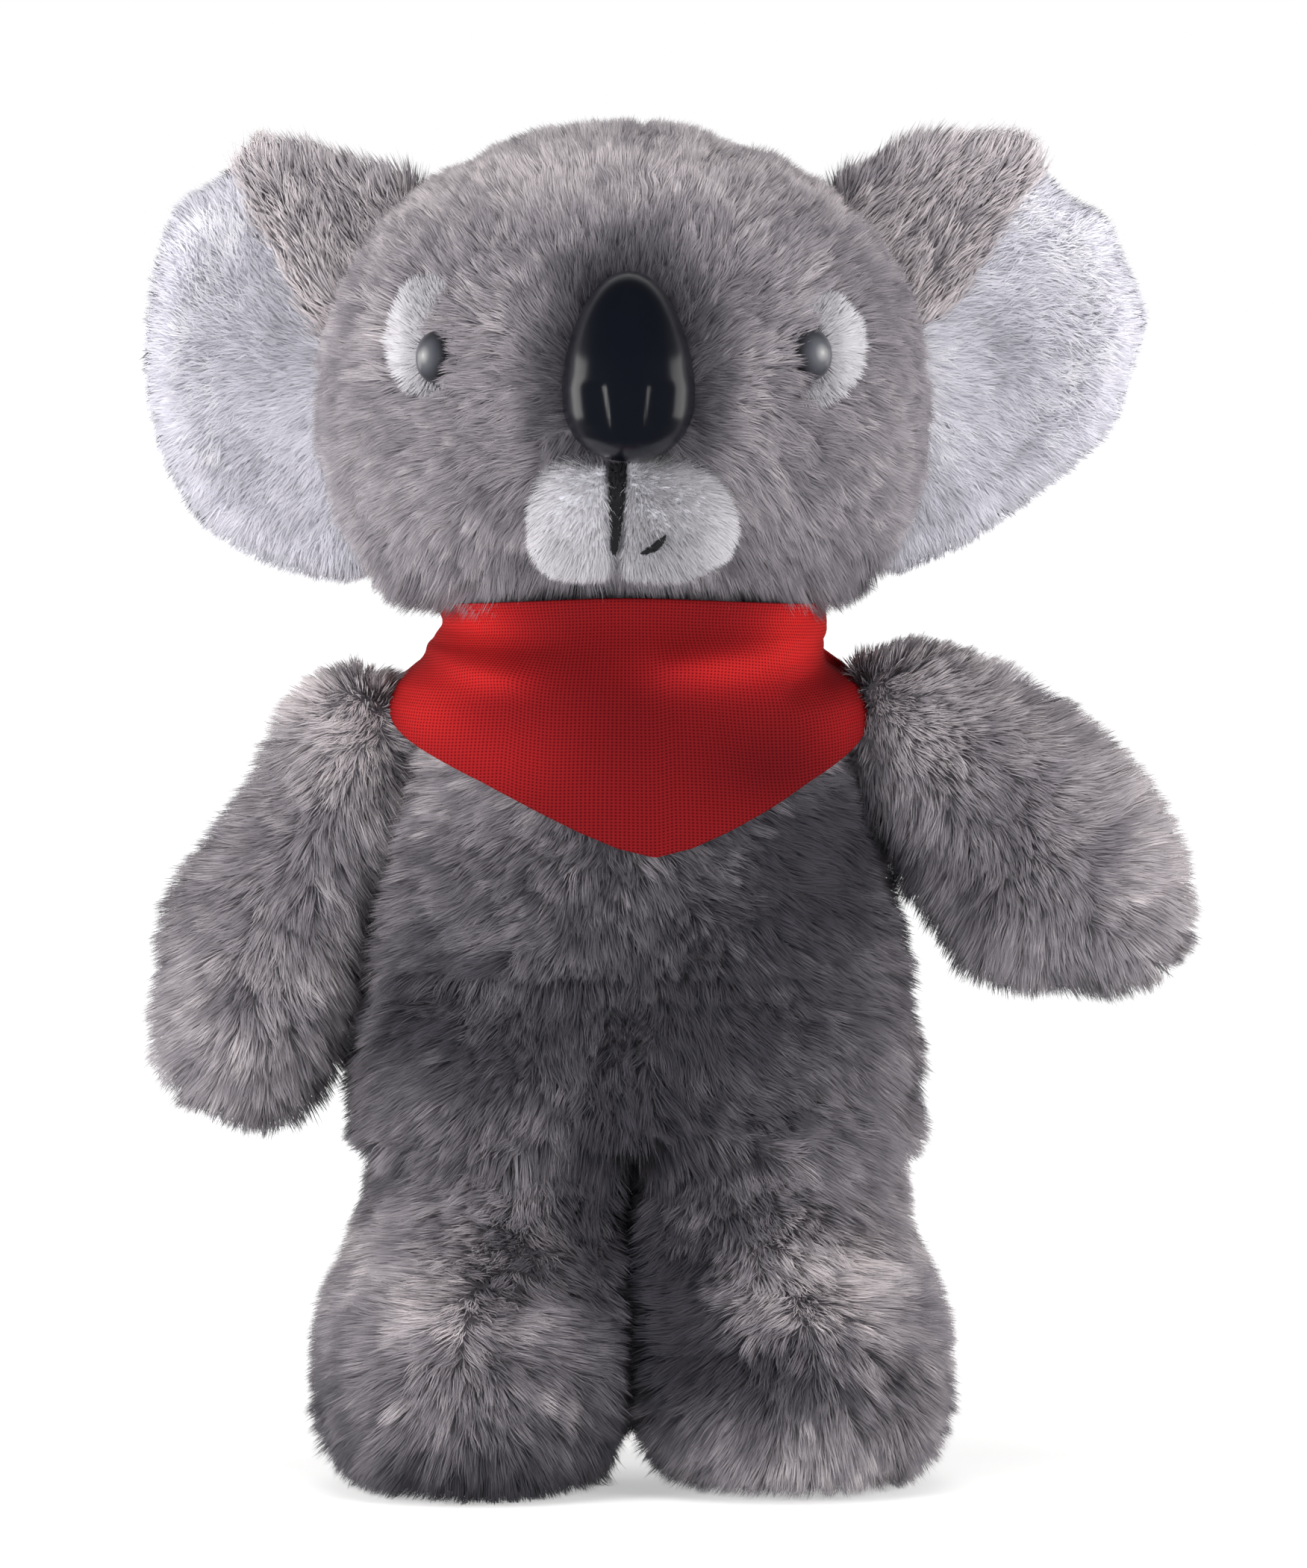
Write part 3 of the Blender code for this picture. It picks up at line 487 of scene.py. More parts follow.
def fur_material(name, root, tip, rough=0.62, along=((0.0, 0.0), (0.5, 0.55), (1.0, 1.0)), sheen=0.0):
    """Colour from OFBake alone: u is a strand's tone, v runs from root to tip."""
    m, tree, shader = principled(name)
    uv = tree.nodes.new("ShaderNodeUVMap")
    uv.uv_map = "OFBake"
    sep = tree.nodes.new("ShaderNodeSeparateXYZ")
    tree.links.new(uv.outputs[0], sep.inputs[0])
    a, b = ramp(tree, root), ramp(tree, tip)
    tree.links.new(sep.outputs[0], a.inputs[0])
    tree.links.new(sep.outputs[0], b.inputs[0])
    t = ramp(tree, [(x, (y, y, y)) for x, y in along])
    tree.links.new(sep.outputs[1], t.inputs[0])
    mix = tree.nodes.new("ShaderNodeMix")
    mix.data_type = "RGBA"
    tree.links.new(t.outputs[0], mix.inputs[0])
    tree.links.new(a.outputs[0], mix.inputs[6])
    tree.links.new(b.outputs[0], mix.inputs[7])
    tree.links.new(mix.outputs[2], shader.inputs["Base Color"])
    shader.inputs["Roughness"].default_value = rough
    shader.inputs["Specular IOR Level"].default_value = 0.35
    return m


def plain(name, colour, rough=0.8, specular=0.3):
    m, tree, shader = principled(name)
    shader.inputs["Base Color"].default_value = (*colour, 1)
    shader.inputs["Roughness"].default_value = rough
    shader.inputs["Specular IOR Level"].default_value = specular
    return m


def log_stops(low, high, tint0, tint1, scale, count=9):
    """Albedo from low to high, even in its logarithm, between two tints."""
    made = []
    for i in range(count):
        x = i / (count - 1)
        v = low * (high / low) ** x * scale
        made.append((x, tuple(min(0.97, v * (p + (q - p) * x)) for p, q in zip(tint0, tint1))))
    return made


# Each fur is darker at the root than at the tip: painted shade deep in the pile. In the grey, darker tones lean blue
# and lighter ones warm, painted like cool shade and warm light.
GREY = fur_material("grey_fur",
                    log_stops(0.05, 0.70, (1.0, 0.95, 1.18), (1.0, 0.91, 0.95), 0.66),
                    log_stops(0.05, 0.70, (1.0, 0.95, 1.16), (1.0, 0.92, 0.94), 1.0))
WHITE = fur_material("white_fur",
                     log_stops(0.30, 0.96, (1.0, 0.98, 1.06), (1.0, 0.99, 1.04), 0.88),
                     log_stops(0.30, 0.96, (1.0, 0.98, 1.06), (1.0, 0.985, 1.03), 1.0))
# The grey backing is darker than the fur, painted shade between the strands; the copy below is lighter, painted light
# on the back where the lamps in front reach less.
GREY_BASE = plain("grey_backing", (0.14, 0.132, 0.146), 0.9)
GREY_BASE_PAINTED_LIGHT = plain("grey_backing_painted_light", (0.27, 0.258, 0.275), 0.9)
WHITE_BASE = plain("white_backing", (0.80, 0.80, 0.86), 0.9)
EAR_WHITE = fur_material("ear_white_fur",
                         log_stops(0.30, 0.96, (1.0, 0.985, 1.12), (1.0, 0.995, 1.09), 0.90),
                         log_stops(0.30, 0.96, (1.0, 0.985, 1.12), (1.0, 0.99, 1.07), 1.0))
EAR_BASE = plain("ear_backing", (0.56, 0.56, 0.62), 0.9)
BLACK_GLOSS = plain("black_gloss", (0.0022, 0.003, 0.006), 0.25, 0.5)
# The eye's colour carries a painted soft reflection: lighter grey in the middle of the dome, fading to near black at
# its edge.
EYE_GLOSS, eye_tree, eye_shader = principled("eye_gloss")
eye_uv = eye_tree.nodes.new("ShaderNodeUVMap")
eye_uv.uv_map = "OFBake"
eye_off = eye_tree.nodes.new("ShaderNodeVectorMath")
eye_off.operation = "DISTANCE"
eye_off.inputs[1].default_value = (0.5, 0.5, 0.0)
eye_tree.links.new(eye_uv.outputs[0], eye_off.inputs[0])
eye_reflection_ramp = ramp(eye_tree, [(0.0, (0.36, 0.36, 0.36)), (0.07, (0.22, 0.22, 0.225)), (0.18, (0.085, 0.088, 0.10)), (0.30, (0.045, 0.048, 0.058)), (0.42, (0.018, 0.018, 0.022)), (1.0, (0.012, 0.012, 0.014))])
eye_tree.links.new(eye_off.outputs["Value"], eye_reflection_ramp.inputs[0])
eye_tree.links.new(eye_reflection_ramp.outputs[0], eye_shader.inputs["Base Color"])
eye_shader.inputs["Roughness"].default_value = 0.30
eye_shader.inputs["Specular IOR Level"].default_value = 0.5
THREAD = plain("black_thread", (0.012, 0.012, 0.014), 0.7)

# ---------------------------------------------------------------- shapes
f_torso = column_field(TORSO, BODY_X, 0.0, 2.3)
f_leg = {s: leg_field(s) for s in ("right", "left")}
f_head = column_field(HEAD, HEAD_X, 0.0, 2.2)
f_arm = {s: arm_field(s) for s in ("right", "left")}


def lower_field(p):
    legs = smooth_min(f_leg["right"](p), f_leg["left"](p), 5.0)
    return smooth_min(f_torso(p), legs, 9.0)


BODY_IN, HEAD_IN, ARM_IN = 5.4, 3.2, 4.6   # how far the backing lies inside the CAD's mean fur face


def base_of(field, inset, low, high, h, extra=None):
    d = true_distance(field)

    def level(p):
        v = d(p) + (inset(p) if callable(inset) else inset)
        return v if extra is None else np.maximum(v, extra(p))
    verts, quads = nets(level, low, high, h)
    return verts, quads, level


H = 2.0
SPLIT_Z = 116.0
parts = {}


def surface(name, field, inset, low, high, extra=None):
    verts, quads, level = base_of(field, inset, low, high, H, extra)
    smooth = settle(level, verts, 1) if extra is None else verts
    normals = unit(gradient(field, smooth, 0.8))
    parts[name] = (smooth, quads, normals)
    return parts[name]


surface("torso", lower_field, BODY_IN, (-70, -52, 108), (74, 46, 200), lambda p: SPLIT_Z - 3 - p[:, 2])
def leg_level(p):
    """The legs and the body in one, with the thighs pressed together in the middle."""
    dx = p[:, 0] - BODY_X
    fill = 5.5 * np.exp(-(dx / 9.0) ** 2) * np.clip((p[:, 2] - 6) / 20, 0, 1) * np.clip((112 - p[:, 2]) / 20, 0, 1)
    crease = 2.0 * np.exp(-(dx / 2.6) ** 2) * np.clip((116 - p[:, 2]) / 24, 0, 1) * (p[:, 1] < 0)
    return lower_field(p) - fill + crease


def sole(p, s):
    """How far a point lies below the rounded sole; the toy's left foot turns its toe up a little."""
    low = 1.2 + (4.0 * np.clip((-p[:, 1] - 4) / 38, 0, 1) ** 1.5 if s == "left" else 0)
    return low - p[:, 2]


for s in ("right", "left"):
    sx = -1 if s == "right" else 1
    d_leg = true_distance(leg_level)

    def round_level(p, s=s):
        a, c = d_leg(p) + BODY_IN, sole(p, s)
        return -smooth_min(-a, -c, 20.0)

    lo, hi = ((-76, -72, -2), (6, 46, 122)) if s == "right" else ((-2, -72, -2), (80, 46, 122))
    verts, quads = nets(lambda p: np.maximum(round_level(p), np.maximum((BODY_X - p[:, 0]) * sx, p[:, 2] - SPLIT_Z - 3)), lo, hi, H)
    parts["leg_" + s] = (verts, quads, unit(gradient(round_level, verts, 0.8)))
d_head = true_distance(f_head)


def head_level(p):
    q = p.copy()
    q[:, 2] += 2.2 * np.clip((209 - p[:, 2]) / 8, 0, 1)
    return d_head(q) + 0.6


verts, quads = nets(head_level, (-74, -62, 190), (74, 60, 304), H)
verts = settle(head_level, verts, 1)
parts["head"] = (verts, quads, unit(gradient(head_level, verts, 0.8)))


def arm_inset(side):
    """The pile is shorter and the backing nearer at the crown of the shoulder."""
    pivot, along, _ = arm_axes(side)
    return lambda p: ARM_IN - 3.0 * (1 - step((p - pivot) @ along, -8, 14))


surface("arm_right", f_arm["right"], arm_inset("right"), (-118, -28, 68), (-34, 24, 190))
surface("arm_left", f_arm["left"], arm_inset("left"), (34, -28, 92), (136, 24, 200))

base_objects = {}
for key, (v, q, n) in parts.items():
    o = make_mesh("backing_" + key, v, q)
    o.data.materials.append(GREY_BASE)
    o.data.materials.append(GREY_BASE_PAINTED_LIGHT)
    # the lighter copy, painted light, goes on the backing behind
    o.data.polygons.foreach_set("material_index", (v[q].mean(1)[:, 1] > 6).astype(np.int32))
    base_objects[key] = o
print("bases", {k: len(v[0]) for k, v in parts.items()}, flush=True)

# ---------------------------------------------------------------- camera, light, floor
scene = bpy.context.scene
cam_data = bpy.data.cameras.new("camera")
cam = bpy.data.objects.new("camera", cam_data)
scene.collection.objects.link(cam)
scene.camera = cam
ELEV, DIST = math.radians(4.5), 7.0
aim = Vector(W(6.15, 0, 154.0))
cam.location = aim + Vector((0, -math.cos(ELEV), math.sin(ELEV))) * DIST
cam.rotation_euler = (math.radians(90) - ELEV, 0, 0)
cam_data.sensor_fit = "VERTICAL"
cam_data.sensor_height = 24
cam_data.lens = 12 / (0.1721 / DIST)
cam_data.clip_start = 0.05


def area(name, at, size, power, target=(0, 0, 0.16), colour=(1, 1, 1), glossy=True):
    data = bpy.data.lights.new(name, "AREA")
    data.shape = "RECTANGLE"
    data.size, data.size_y = size
    data.energy = power
    data.color = colour
    o = bpy.data.objects.new(name, data)
    scene.collection.objects.link(o)
    o.location = at
    o.rotation_euler = (Vector(target) - Vector(at)).to_track_quat("-Z", "Y").to_euler()
    o.visible_glossy = glossy
    return o


# wide soft boxes at both sides of the front, one overhead, a weak fill, and two dim ones that the nose and the eyes mirror
WARM = (1.0, 0.975, 0.96)
for x in (-1, 1):
    area("side", (x * 0.85, -0.72, 0.24), (0.6, 0.8), 11.8 if x < 0 else 10.8, target=(0, -0.01, 0.17), colour=WARM, glossy=False)
    area("mirrored", (x * 0.44, 0.07, 0.20), (0.30, 0.28), 0.75 if x < 0 else 0.5, target=(0, -0.01, 0.225), colour=WARM)
area("overhead", (0.0, -0.40, 1.2), (0.8, 0.6), 5.5, glossy=False)
area("front", (-0.25, -1.5, 0.16), (0.9, 0.5), 5.0, colour=(0.95, 0.97, 1.0), glossy=False)
world_shader = bpy.data.worlds.new("world")
scene.world = world_shader
world_shader.use_nodes = True
tree = world_shader.node_tree
coords = tree.nodes.new("ShaderNodeTexCoord")
split_xyz = tree.nodes.new("ShaderNodeSeparateXYZ")
tree.links.new(coords.outputs["Generated"], split_xyz.inputs[0])
behind = tree.nodes.new("ShaderNodeMapRange")
behind.interpolation_type = "SMOOTHSTEP"
behind.inputs["From Min"].default_value = 0.35
behind.inputs["From Max"].default_value = 0.85
behind.inputs["To Min"].default_value = 0.07
behind.inputs["To Max"].default_value = 1.0
tree.links.new(split_xyz.outputs["Y"], behind.inputs["Value"])
tree.nodes["Background"].inputs[0].default_value = (1, 1, 1, 1)
tree.links.new(behind.outputs[0], tree.nodes["Background"].inputs[1])
scene.view_settings.view_transform = "Standard"

bpy.ops.mesh.primitive_plane_add(size=8, location=(0, 0, 0))
ground = bpy.context.object
ground.name = "ground"
floor_mat, floor_tree, floor_shader = principled("ground_white")
floor_shader.inputs["Base Color"].default_value = (0.9, 0.9, 0.9, 1)
floor_shader.inputs["Roughness"].default_value = 0.9
floor_shader.inputs["Specular IOR Level"].default_value = 0.1
floor_shader.inputs["Emission Color"].default_value = (1, 1, 1, 1)
place = floor_tree.nodes.new("ShaderNodeTexCoord")
far = floor_tree.nodes.new("ShaderNodeVectorMath")
far.operation = "LENGTH"
floor_tree.links.new(place.outputs["Object"], far.inputs[0])
glow = floor_tree.nodes.new("ShaderNodeMapRange")
glow.interpolation_type = "SMOOTHSTEP"
glow.inputs["From Min"].default_value = 0.12
glow.inputs["From Max"].default_value = 1.0
glow.inputs["To Min"].default_value = 0.45
glow.inputs["To Max"].default_value = 1.0
floor_tree.links.new(far.outputs["Value"], glow.inputs["Value"])
floor_tree.links.new(glow.outputs[0], floor_shader.inputs["Emission Strength"])
ground.data.materials.append(floor_mat)
ground.visible_glossy = False

# ---------------------------------------------------------------- fur
COUNT = {}


def make_fur(name, part, flow_of, per_mm2, length_of, lift_of, tone_base, material, keep=None, split=None, floor=None, width=0.27, facing=None, thin=0.0,
             kind=LONG, tones=(0.05, 0.05, 0.035), patch=0.05, patch_size=16.0, seed=1, loose=0.3, own_side=0.45, **more):
    v, q, n = parts[part]
    p, nn = scatter(v, q, n, per_mm2 * SHARE, keep)
    behind = step(p[:, 1], -2, 14) * thin
    stay = rng.random(len(p)) > behind
    p, nn, behind = p[stay], nn[stay], behind[stay]
    wide = (width if SHARE == 1 else width * 1.75) / (1 - behind) ** 0.7
    P, soft, tb, ts, own, below = grow(p, nn, flow_of(p, nn), length_of(p, nn), lift_of(p, nn), per_mm2 * SHARE, kind=kind, seed=seed, **more)
    if facing is not None:
        soft = unit(soft + facing(p, nn))
    # undercoat strands are darker, painted shade deep in the pile; the thinned fur behind is lighter, painted light
    # where the lamps reach less
    tone = tone_base(p, nn) + tones[0] * tb + tones[1] * ts + tones[2] * own + patch * noise3(p, patch_size, seed + 7) - 0.10 * below + 0.22 * behind
    w = wide * np.clip(rng.normal(1, 0.2, len(p)), 0.5, 1.6)
    made = []
    for suffix, mask in ([("", np.ones(len(p), bool))] if split is None else split(p, nn)):
        if mask.sum() >= 3:
            made.append(strands(name + suffix, P[mask], w[mask], soft[mask], nn[mask], tone[mask], material, kind=kind, floor=floor, loose=loose, own_side=own_side))
            COUNT[made[-1].name] = int(mask.sum())
    return made


def const(value):
    return lambda p, n: np.full(len(p), float(value))


def bump(p, centre, radii):
    d = (p - np.array(centre)) / np.array(radii)
    return np.exp(-(d ** 2).sum(1))


# the hem of the bandana, as degrees from the front and height, and its inner face
HEM = np.array([(0, 141.5), (10, 143.5), (20, 147), (32, 152.0), (44, 157.5), (54, 161.5), (63, 165), (71, 168), (79, 171.5), (88, 175), (100, 180), (120, 184.5), (180, 186)], float)
CLOTH_AT = np.array([(140, 49, 45.2, 30), (148, 50.5, 44.8, 30), (156, 51.8, 44, 30), (164, 52.6, 43, 30), (169, 52.6, 42.2, 30), (173, 51.8, 41.6, 30), (177, 49.4, 40.8, 30),
                     (180.5, 45.4, 39.8, 30), (183.5, 41.4, 38.8, 30), (186.2, 39.0, 37.8, 29.8), (189, 39.2, 36.9, 29.6), (192, 40.4, 36.4, 29.4), (196.6, 42.2, 37.2, 29.6)], float)
CLOTH_X, CLOTH_TOP = 0.8, 197.6


def hem_at(degrees_from_front):
    """Lowest z of the cloth at a bearing; 0 is the front, positive to the toy's left (+X). The tip sits 7 degrees over."""
    d = np.abs((degrees_from_front - 7.0 * np.cos(np.radians(degrees_from_front)) + 180) % 360 - 180)
    return np.interp(d, HEM[:, 0], HEM[:, 1])


def under_cloth(p):
    bearing = np.degrees(np.arctan2(p[:, 0] - CLOTH_X, -p[:, 1]))
    return p[:, 2] - hem_at(bearing)


# ---------------------------------------------------------------- torso
def torso_flow(p, n):
    x = (p[:, 0] - BODY_X) / 30.0
    return np.stack([x * 0.9, np.zeros(len(p)), -1.0 + 0.25 * np.abs(x)], 1)


def body_tone(p):
    # painted light and shade: darker on the lower body, darker still down the middle there and lighter at its outer
    # sides, as the lamps fall
    dx = np.abs(p[:, 0] - BODY_X)
    return 0.62 + 0.16 * step(p[:, 2], 98, 146) + (0.13 * step(dx, 24, 64) - 0.14 * (1 - step(dx, 2, 22))) * (1 - step(p[:, 2], 84, 124))


# painted shade and light on the front of the body and the legs: x, z, x radius, z radius and amount of each bump;
# negative ones darken, positive ones lighten
PAINTED_SHADE_AND_LIGHT = [(2, 124, 16, 12, 0.01), (-3, 99, 10, 10, 0.05), (36, 144, 9, 9, -0.34), (40, 124, 14, 12, -0.08), (-40, 118, 12, 12, -0.04), (52, 80, 12, 12, 0.09), (-46, 78, 12, 12, -0.06), (-39, 138, 14, 14, -0.14), (38, 140, 16, 16, -0.34), (-42, 104, 13, 20, -0.42), (36, 110, 14, 16, -0.12), (52, 80, 12, 16, -0.15), (-48, 72, 12, 14, -0.22),
          (2, 112, 16, 22, 0.10), (-3, 99, 12, 12, 0.06), (-61, 24, 10, 18, -0.46), (-31, 8, 22, 10, -0.62), (36, 14, 20, 14, 0.30), (65, 32, 8, 10, 0.12), (38, 144, 12, 12, -0.42), (-9, 28, 8, 14, -0.12),
          (43, 50, 13, 10, 0.30), (-37, 46, 12, 10, 0.12), (34, 30, 14, 9, -0.56), (65, 30, 9, 16, -0.24), (14, 40, 8, 16, -0.85), (1.5, 68, 5, 28, 0.12)]


def belly_tone(p):
    """Painted shade: the belly and the crotch lie in the shade of the head, the cloth and the arms, and their fur is
    darkened for it; the listed bumps paint more shade and some light over the front.
    """
    t = np.zeros(len(p))
    for x, z, rx, rz, amount in PAINTED_SHADE_AND_LIGHT:
        t += amount * np.exp(-((p[:, 0] - x) / rx) ** 2 - ((p[:, 2] - z) / rz) ** 2)
    return t * step(-p[:, 1], -22, 4) -0.62 * bump(p, (BODY_X + 6, -44, 114), (44, 44, 46)) - 0.30 * bump(p, (BODY_X, -40, 60), (14, 60, 46)) - 0.12 * bump(p, (BODY_X + 40, -30, 140), (16, 40, 30))


def torso_length(p, n):
    return np.where(under_cloth(p) > 1.5, 4.0, 8.6) + 2.8 * bump(p, (66, 0, 95), (16, 40, 34))


COAT = dict(big=8.0, small=2.3, pull=(0.12, 0.44), wander=0.30, droop=0.16, spread=0.13, ragged=0.05, turn=0.7, swirl=18.0, round_tuft=0.22, under=0.2,
            stray=0.6, waves=0.36, width=0.185, tones=(0.06, 0.085, 0.05), patch=0.11, patch_size=8.0, own_side=0.26, thin=0.6)
torso_fur = make_fur("torso_fur", "torso", torso_flow, 6.4, torso_length, const(0.46), lambda p, n: body_tone(p) + belly_tone(p), GREY, **COAT,
                     keep=lambda p, n: (p[:, 2] > SPLIT_Z) & (p[:, 2] < 193) & (under_cloth(p) < 14),
                     split=lambda p, n: [("_front", p[:, 1] < -4), ("_back", p[:, 1] >= -4)])
for o in torso_fur:
    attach(o, "torso")
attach(base_objects["torso"], "torso")

# ---------------------------------------------------------------- legs
WHORL = {"right": np.array([-35.5, -56.0, 42.0]), "left": np.array([44.0, -46.0, 47.0])}
for s in ("right", "left"):
    hx, sx = HIP[s][0], (-1 if s == "right" else 1)

    def leg_flow(p, n, hx=hx, s=s):
        body = np.stack([(p[:, 0] - BODY_X) / 30.0 * 0.7, np.zeros(len(p)), np.full(len(p), -1.0)], 1)
        radial = p - WHORL[s]
        turn = bump(p, WHORL[s], (20, 60, 20)) * (0.4 if s == "right" else -0.4)
        down = np.minimum(radial[:, 2], 0) - 5.0
        across = radial[:, 0] * (1 - 0.75 * step(radial[:, 2], -3, 9))
        radial = np.stack([across - turn * down, radial[:, 1] * 0.2, down + turn * across], 1)
        low = 1 - step(p[:, 2], WHORL[s][2] - 8, WHORL[s][2] + 10)
        return unit(body) * (1 - low)[:, None] + unit(radial) * low[:, None]

    def leg_lift(p, n, s=s):
        near = np.linalg.norm((p - WHORL[s] - np.array([0, 0, 3.0])) * np.array([1, 0.4, 1.3]), axis=1)
        return 0.52 + 0.10 * (1 - step(near, 2, 14))

    def leg_length(p, n, sx=sx, s=s):
        inner = n[:, 0] * sx < -0.75
        return np.where(inner, 6.0, 8.8) + 0.6 * bump(p, WHORL[s], (18, 30, 16)) + 2.8 * bump(p, (66, 0, 95), (16, 40, 34))

    def leg_keep(p, n):
        return ((p[:, 2] <= SPLIT_Z) & (p[:, 2] > 2.2)).astype(float)

    def leg_tone(p, n, s=s, sx=sx):
        # painted highlight on the whorl of each foot, and painted shade towards the sole
        high = 0.12 * bump(p, WHORL[s] + np.array([0, 0, 3.0]), (17, 30, 13))
        return body_tone(p) + belly_tone(p) + high - 0.20 * (1 - step(p[:, 2], 4, 30))

    fur = make_fur(f"{s}_leg_fur", "leg_" + s, leg_flow, 6.4, leg_length, leg_lift, leg_tone, GREY, keep=leg_keep, floor=0.15, seed=2, **{**COAT, "waves": lambda p: 0.36 - 0.2 * (1 - step(p[:, 2], 40, 72))},
                   split=lambda p, n: [("_upper", p[:, 2] > 58), ("_foot_front", (p[:, 2] <= 58) & (p[:, 1] < -10)), ("_foot_back", (p[:, 2] <= 58) & (p[:, 1] >= -10))])
    for o in fur + [base_objects["leg_" + s]]:
        W(hx, -3, 118)
        W(hx, -3, 46)
        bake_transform(o)

# ---------------------------------------------------------------- arms
arm_fur, ear_fur = [], []
for s in ("right", "left"):
    pivot, along, across = arm_axes(s)
    reach = 60.0 if s == "right" else 52.0

    def arm_flow(p, n, along=along, pivot=pivot, across=across, reach=reach):
        r = p - pivot
        out = (r @ across) / 18.0
        end = step(r @ along, reach - 25, reach + 12)
        side = along[None] * 0.8 + across[None] * (out * 0.7)[:, None] + np.array([0, 0.0, -0.2])[None]
        radial = unit(r - along[None] * (reach - 12))
        return side * (1 - end)[:, None] + radial * end[:, None]

    def arm_tone(p, n, along=along, pivot=pivot, across=across):
        # painted light and shade: the crown of the shoulder is lighter where the head shades it; on the toy's left arm
        # the outer side and the paw end are lighter and the side towards the body darker
        out = (p - pivot) @ across
        s_at = (p - pivot) @ along
        if along[0] < 0:
            return 0.68 - 0.02 * np.clip(out / 18.0, -1, 1) + 0.27 * (1 - step(s_at, -6, 20)) + 0.02 * step(s_at, 66, 82)
        return 0.60 + 0.13 * np.clip(out / 20.0, -1, 1) + 0.13 * (1 - step(s_at, 2, 24)) + 0.16 * step(s_at, 38, 66) - 0.48 * np.exp(-((out + 22) / 12) ** 2 - ((s_at - 10) / 18) ** 2) + 0.07 * np.exp(-((out + 22) / 12) ** 2 - ((s_at - 48) / 16) ** 2)

    def arm_length(p, n, along=along, pivot=pivot):
        return 8.6 - 3.0 * (1 - step((p - pivot) @ along, -8, 14))

    def arm_keep(p, n):
        return (body_distance(p) > -8).astype(float)

    body_distance = true_distance(lower_field)
    fur = make_fur(f"{s}_arm_fur", "arm_" + s, arm_flow, 6.4, arm_length, const(0.46), arm_tone, GREY, keep=arm_keep, seed=4, facing=lambda p, n, pivot=pivot, along=along: np.array([[0, -0.6, 0]]) * (1 - step((p - pivot) @ along, -4, 22))[:, None],
                   clump=lambda p, pivot=pivot, across=across, along=along: 1 + 0.4 * np.exp(-(((p - pivot) @ across + 3) / 8) ** 2) * step((p - pivot) @ along, 8, 24), **{**COAT, "waves": 0.26, "tones": (0.03, 0.05, 0.05), "pull": (0.10, 0.36), "stray": 0.4},
                   split=lambda p, n: [("_front", p[:, 1] < -3), ("_back", p[:, 1] >= -3)])
    arm_fur += fur
    for o in fur + [base_objects["arm_" + s]]:
        tuple(world(pivot - along * 10 - across * 6))
        tuple(world(pivot + along * 26 + across * 4))
        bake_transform(o)

# ---------------------------------------------------------------- head
NOSE_AT = np.array([0.2, -54.0, 244.0])
EYE = {"right": np.array([HEAD_X - 41.0, -41.3, 250.6]), "left": np.array([HEAD_X + 41.0, -41.3, 251.2])}
PATCH = {"right": ((-42.0, 254.4, 8.8, 12.2), (-37.2, 254.2, 5.2, 9.4)), "left": ((41.2, 252.2, 9.4, 11.2), (37.6, 252.2, 5.2, 7.8))}


def patch_level(p, s):
    """Below 1 inside the crescent of white plush at the outer side of an eye."""
    (x, z, w, h), (x1, z1, w1, h1) = PATCH[s]
    outer = ((p[:, 0] - x) / w) ** 2 + ((p[:, 2] - z) / h) ** 2 + 0.10 * noise3(p, 2.4, 31)
    inner = 2 - ((p[:, 0] - x1) / w1) ** 2 - ((p[:, 2] - z1) / h1) ** 2
    away = (p[:, 0] - x) * (1 if s == "right" else -1)
    return np.maximum(np.maximum(outer, inner), 1 + (away - 3.0) * 0.5)


def head_flow(p, n):
    radial = unit(p - NOSE_AT)
    back = step(p[:, 1], 0, 30)[:, None]
    f = radial * (1 - back) + np.array([0, 0.15, -1.0]) * back
    chin = (1 - step(p[:, 2], 204, 216))[:, None]
    out = unit(np.stack([p[:, 0] - HEAD_X, p[:, 1], np.zeros(len(p))], 1))
    return f * (1 - chin) + (out * 0.6 + np.array([0, 0, -1.0])) * chin


def head_lift(p, n):
    return 0.80 - 0.30 * (1 - step(p[:, 2], 202, 213))


def head_length(p, n):
    return 5.6 + 4.2 * (1 - step(p[:, 2], 202, 213)) * step(-p[:, 1], -20, 20)


def off_face(p, eye=1.0):
    """False under the nose, the muzzle, the eyes and the neck."""
    front = p[:, 1] < -20
    nose = ((p[:, 0] - 0.2) / 12.2) ** 2 + ((p[:, 2] - 247.5) / 18.4) ** 2
    muzzle = np.minimum(((p[:, 0] + 10.2) / 9.8) ** 2, ((p[:, 0] - 9.6) / 13.0) ** 2) + ((p[:, 2] - 216.5) / np.where(p[:, 2] > 216.5, 11.0, 8.0)) ** 2
    ok = ~(front & ((nose < 1) | (muzzle < 1)))
    for s in EYE:
        e = (p - EYE[s]) / (np.array([4.6, 6.0, 5.6]) * eye)
        ok &= (e ** 2).sum(1) > 1
    return ok & ~((p[:, 2] < 203) & (np.hypot(p[:, 0], p[:, 1]) < 22))


def head_keep(p, n):
    ok = off_face(p)
    tip = p + unit(p - NOSE_AT) * 2.0
    for s in PATCH:
        ok &= ((patch_level(p, s) > 1) & (patch_level(tip, s) > 0.9)) | (p[:, 1] > -15)
    return ok.astype(float)


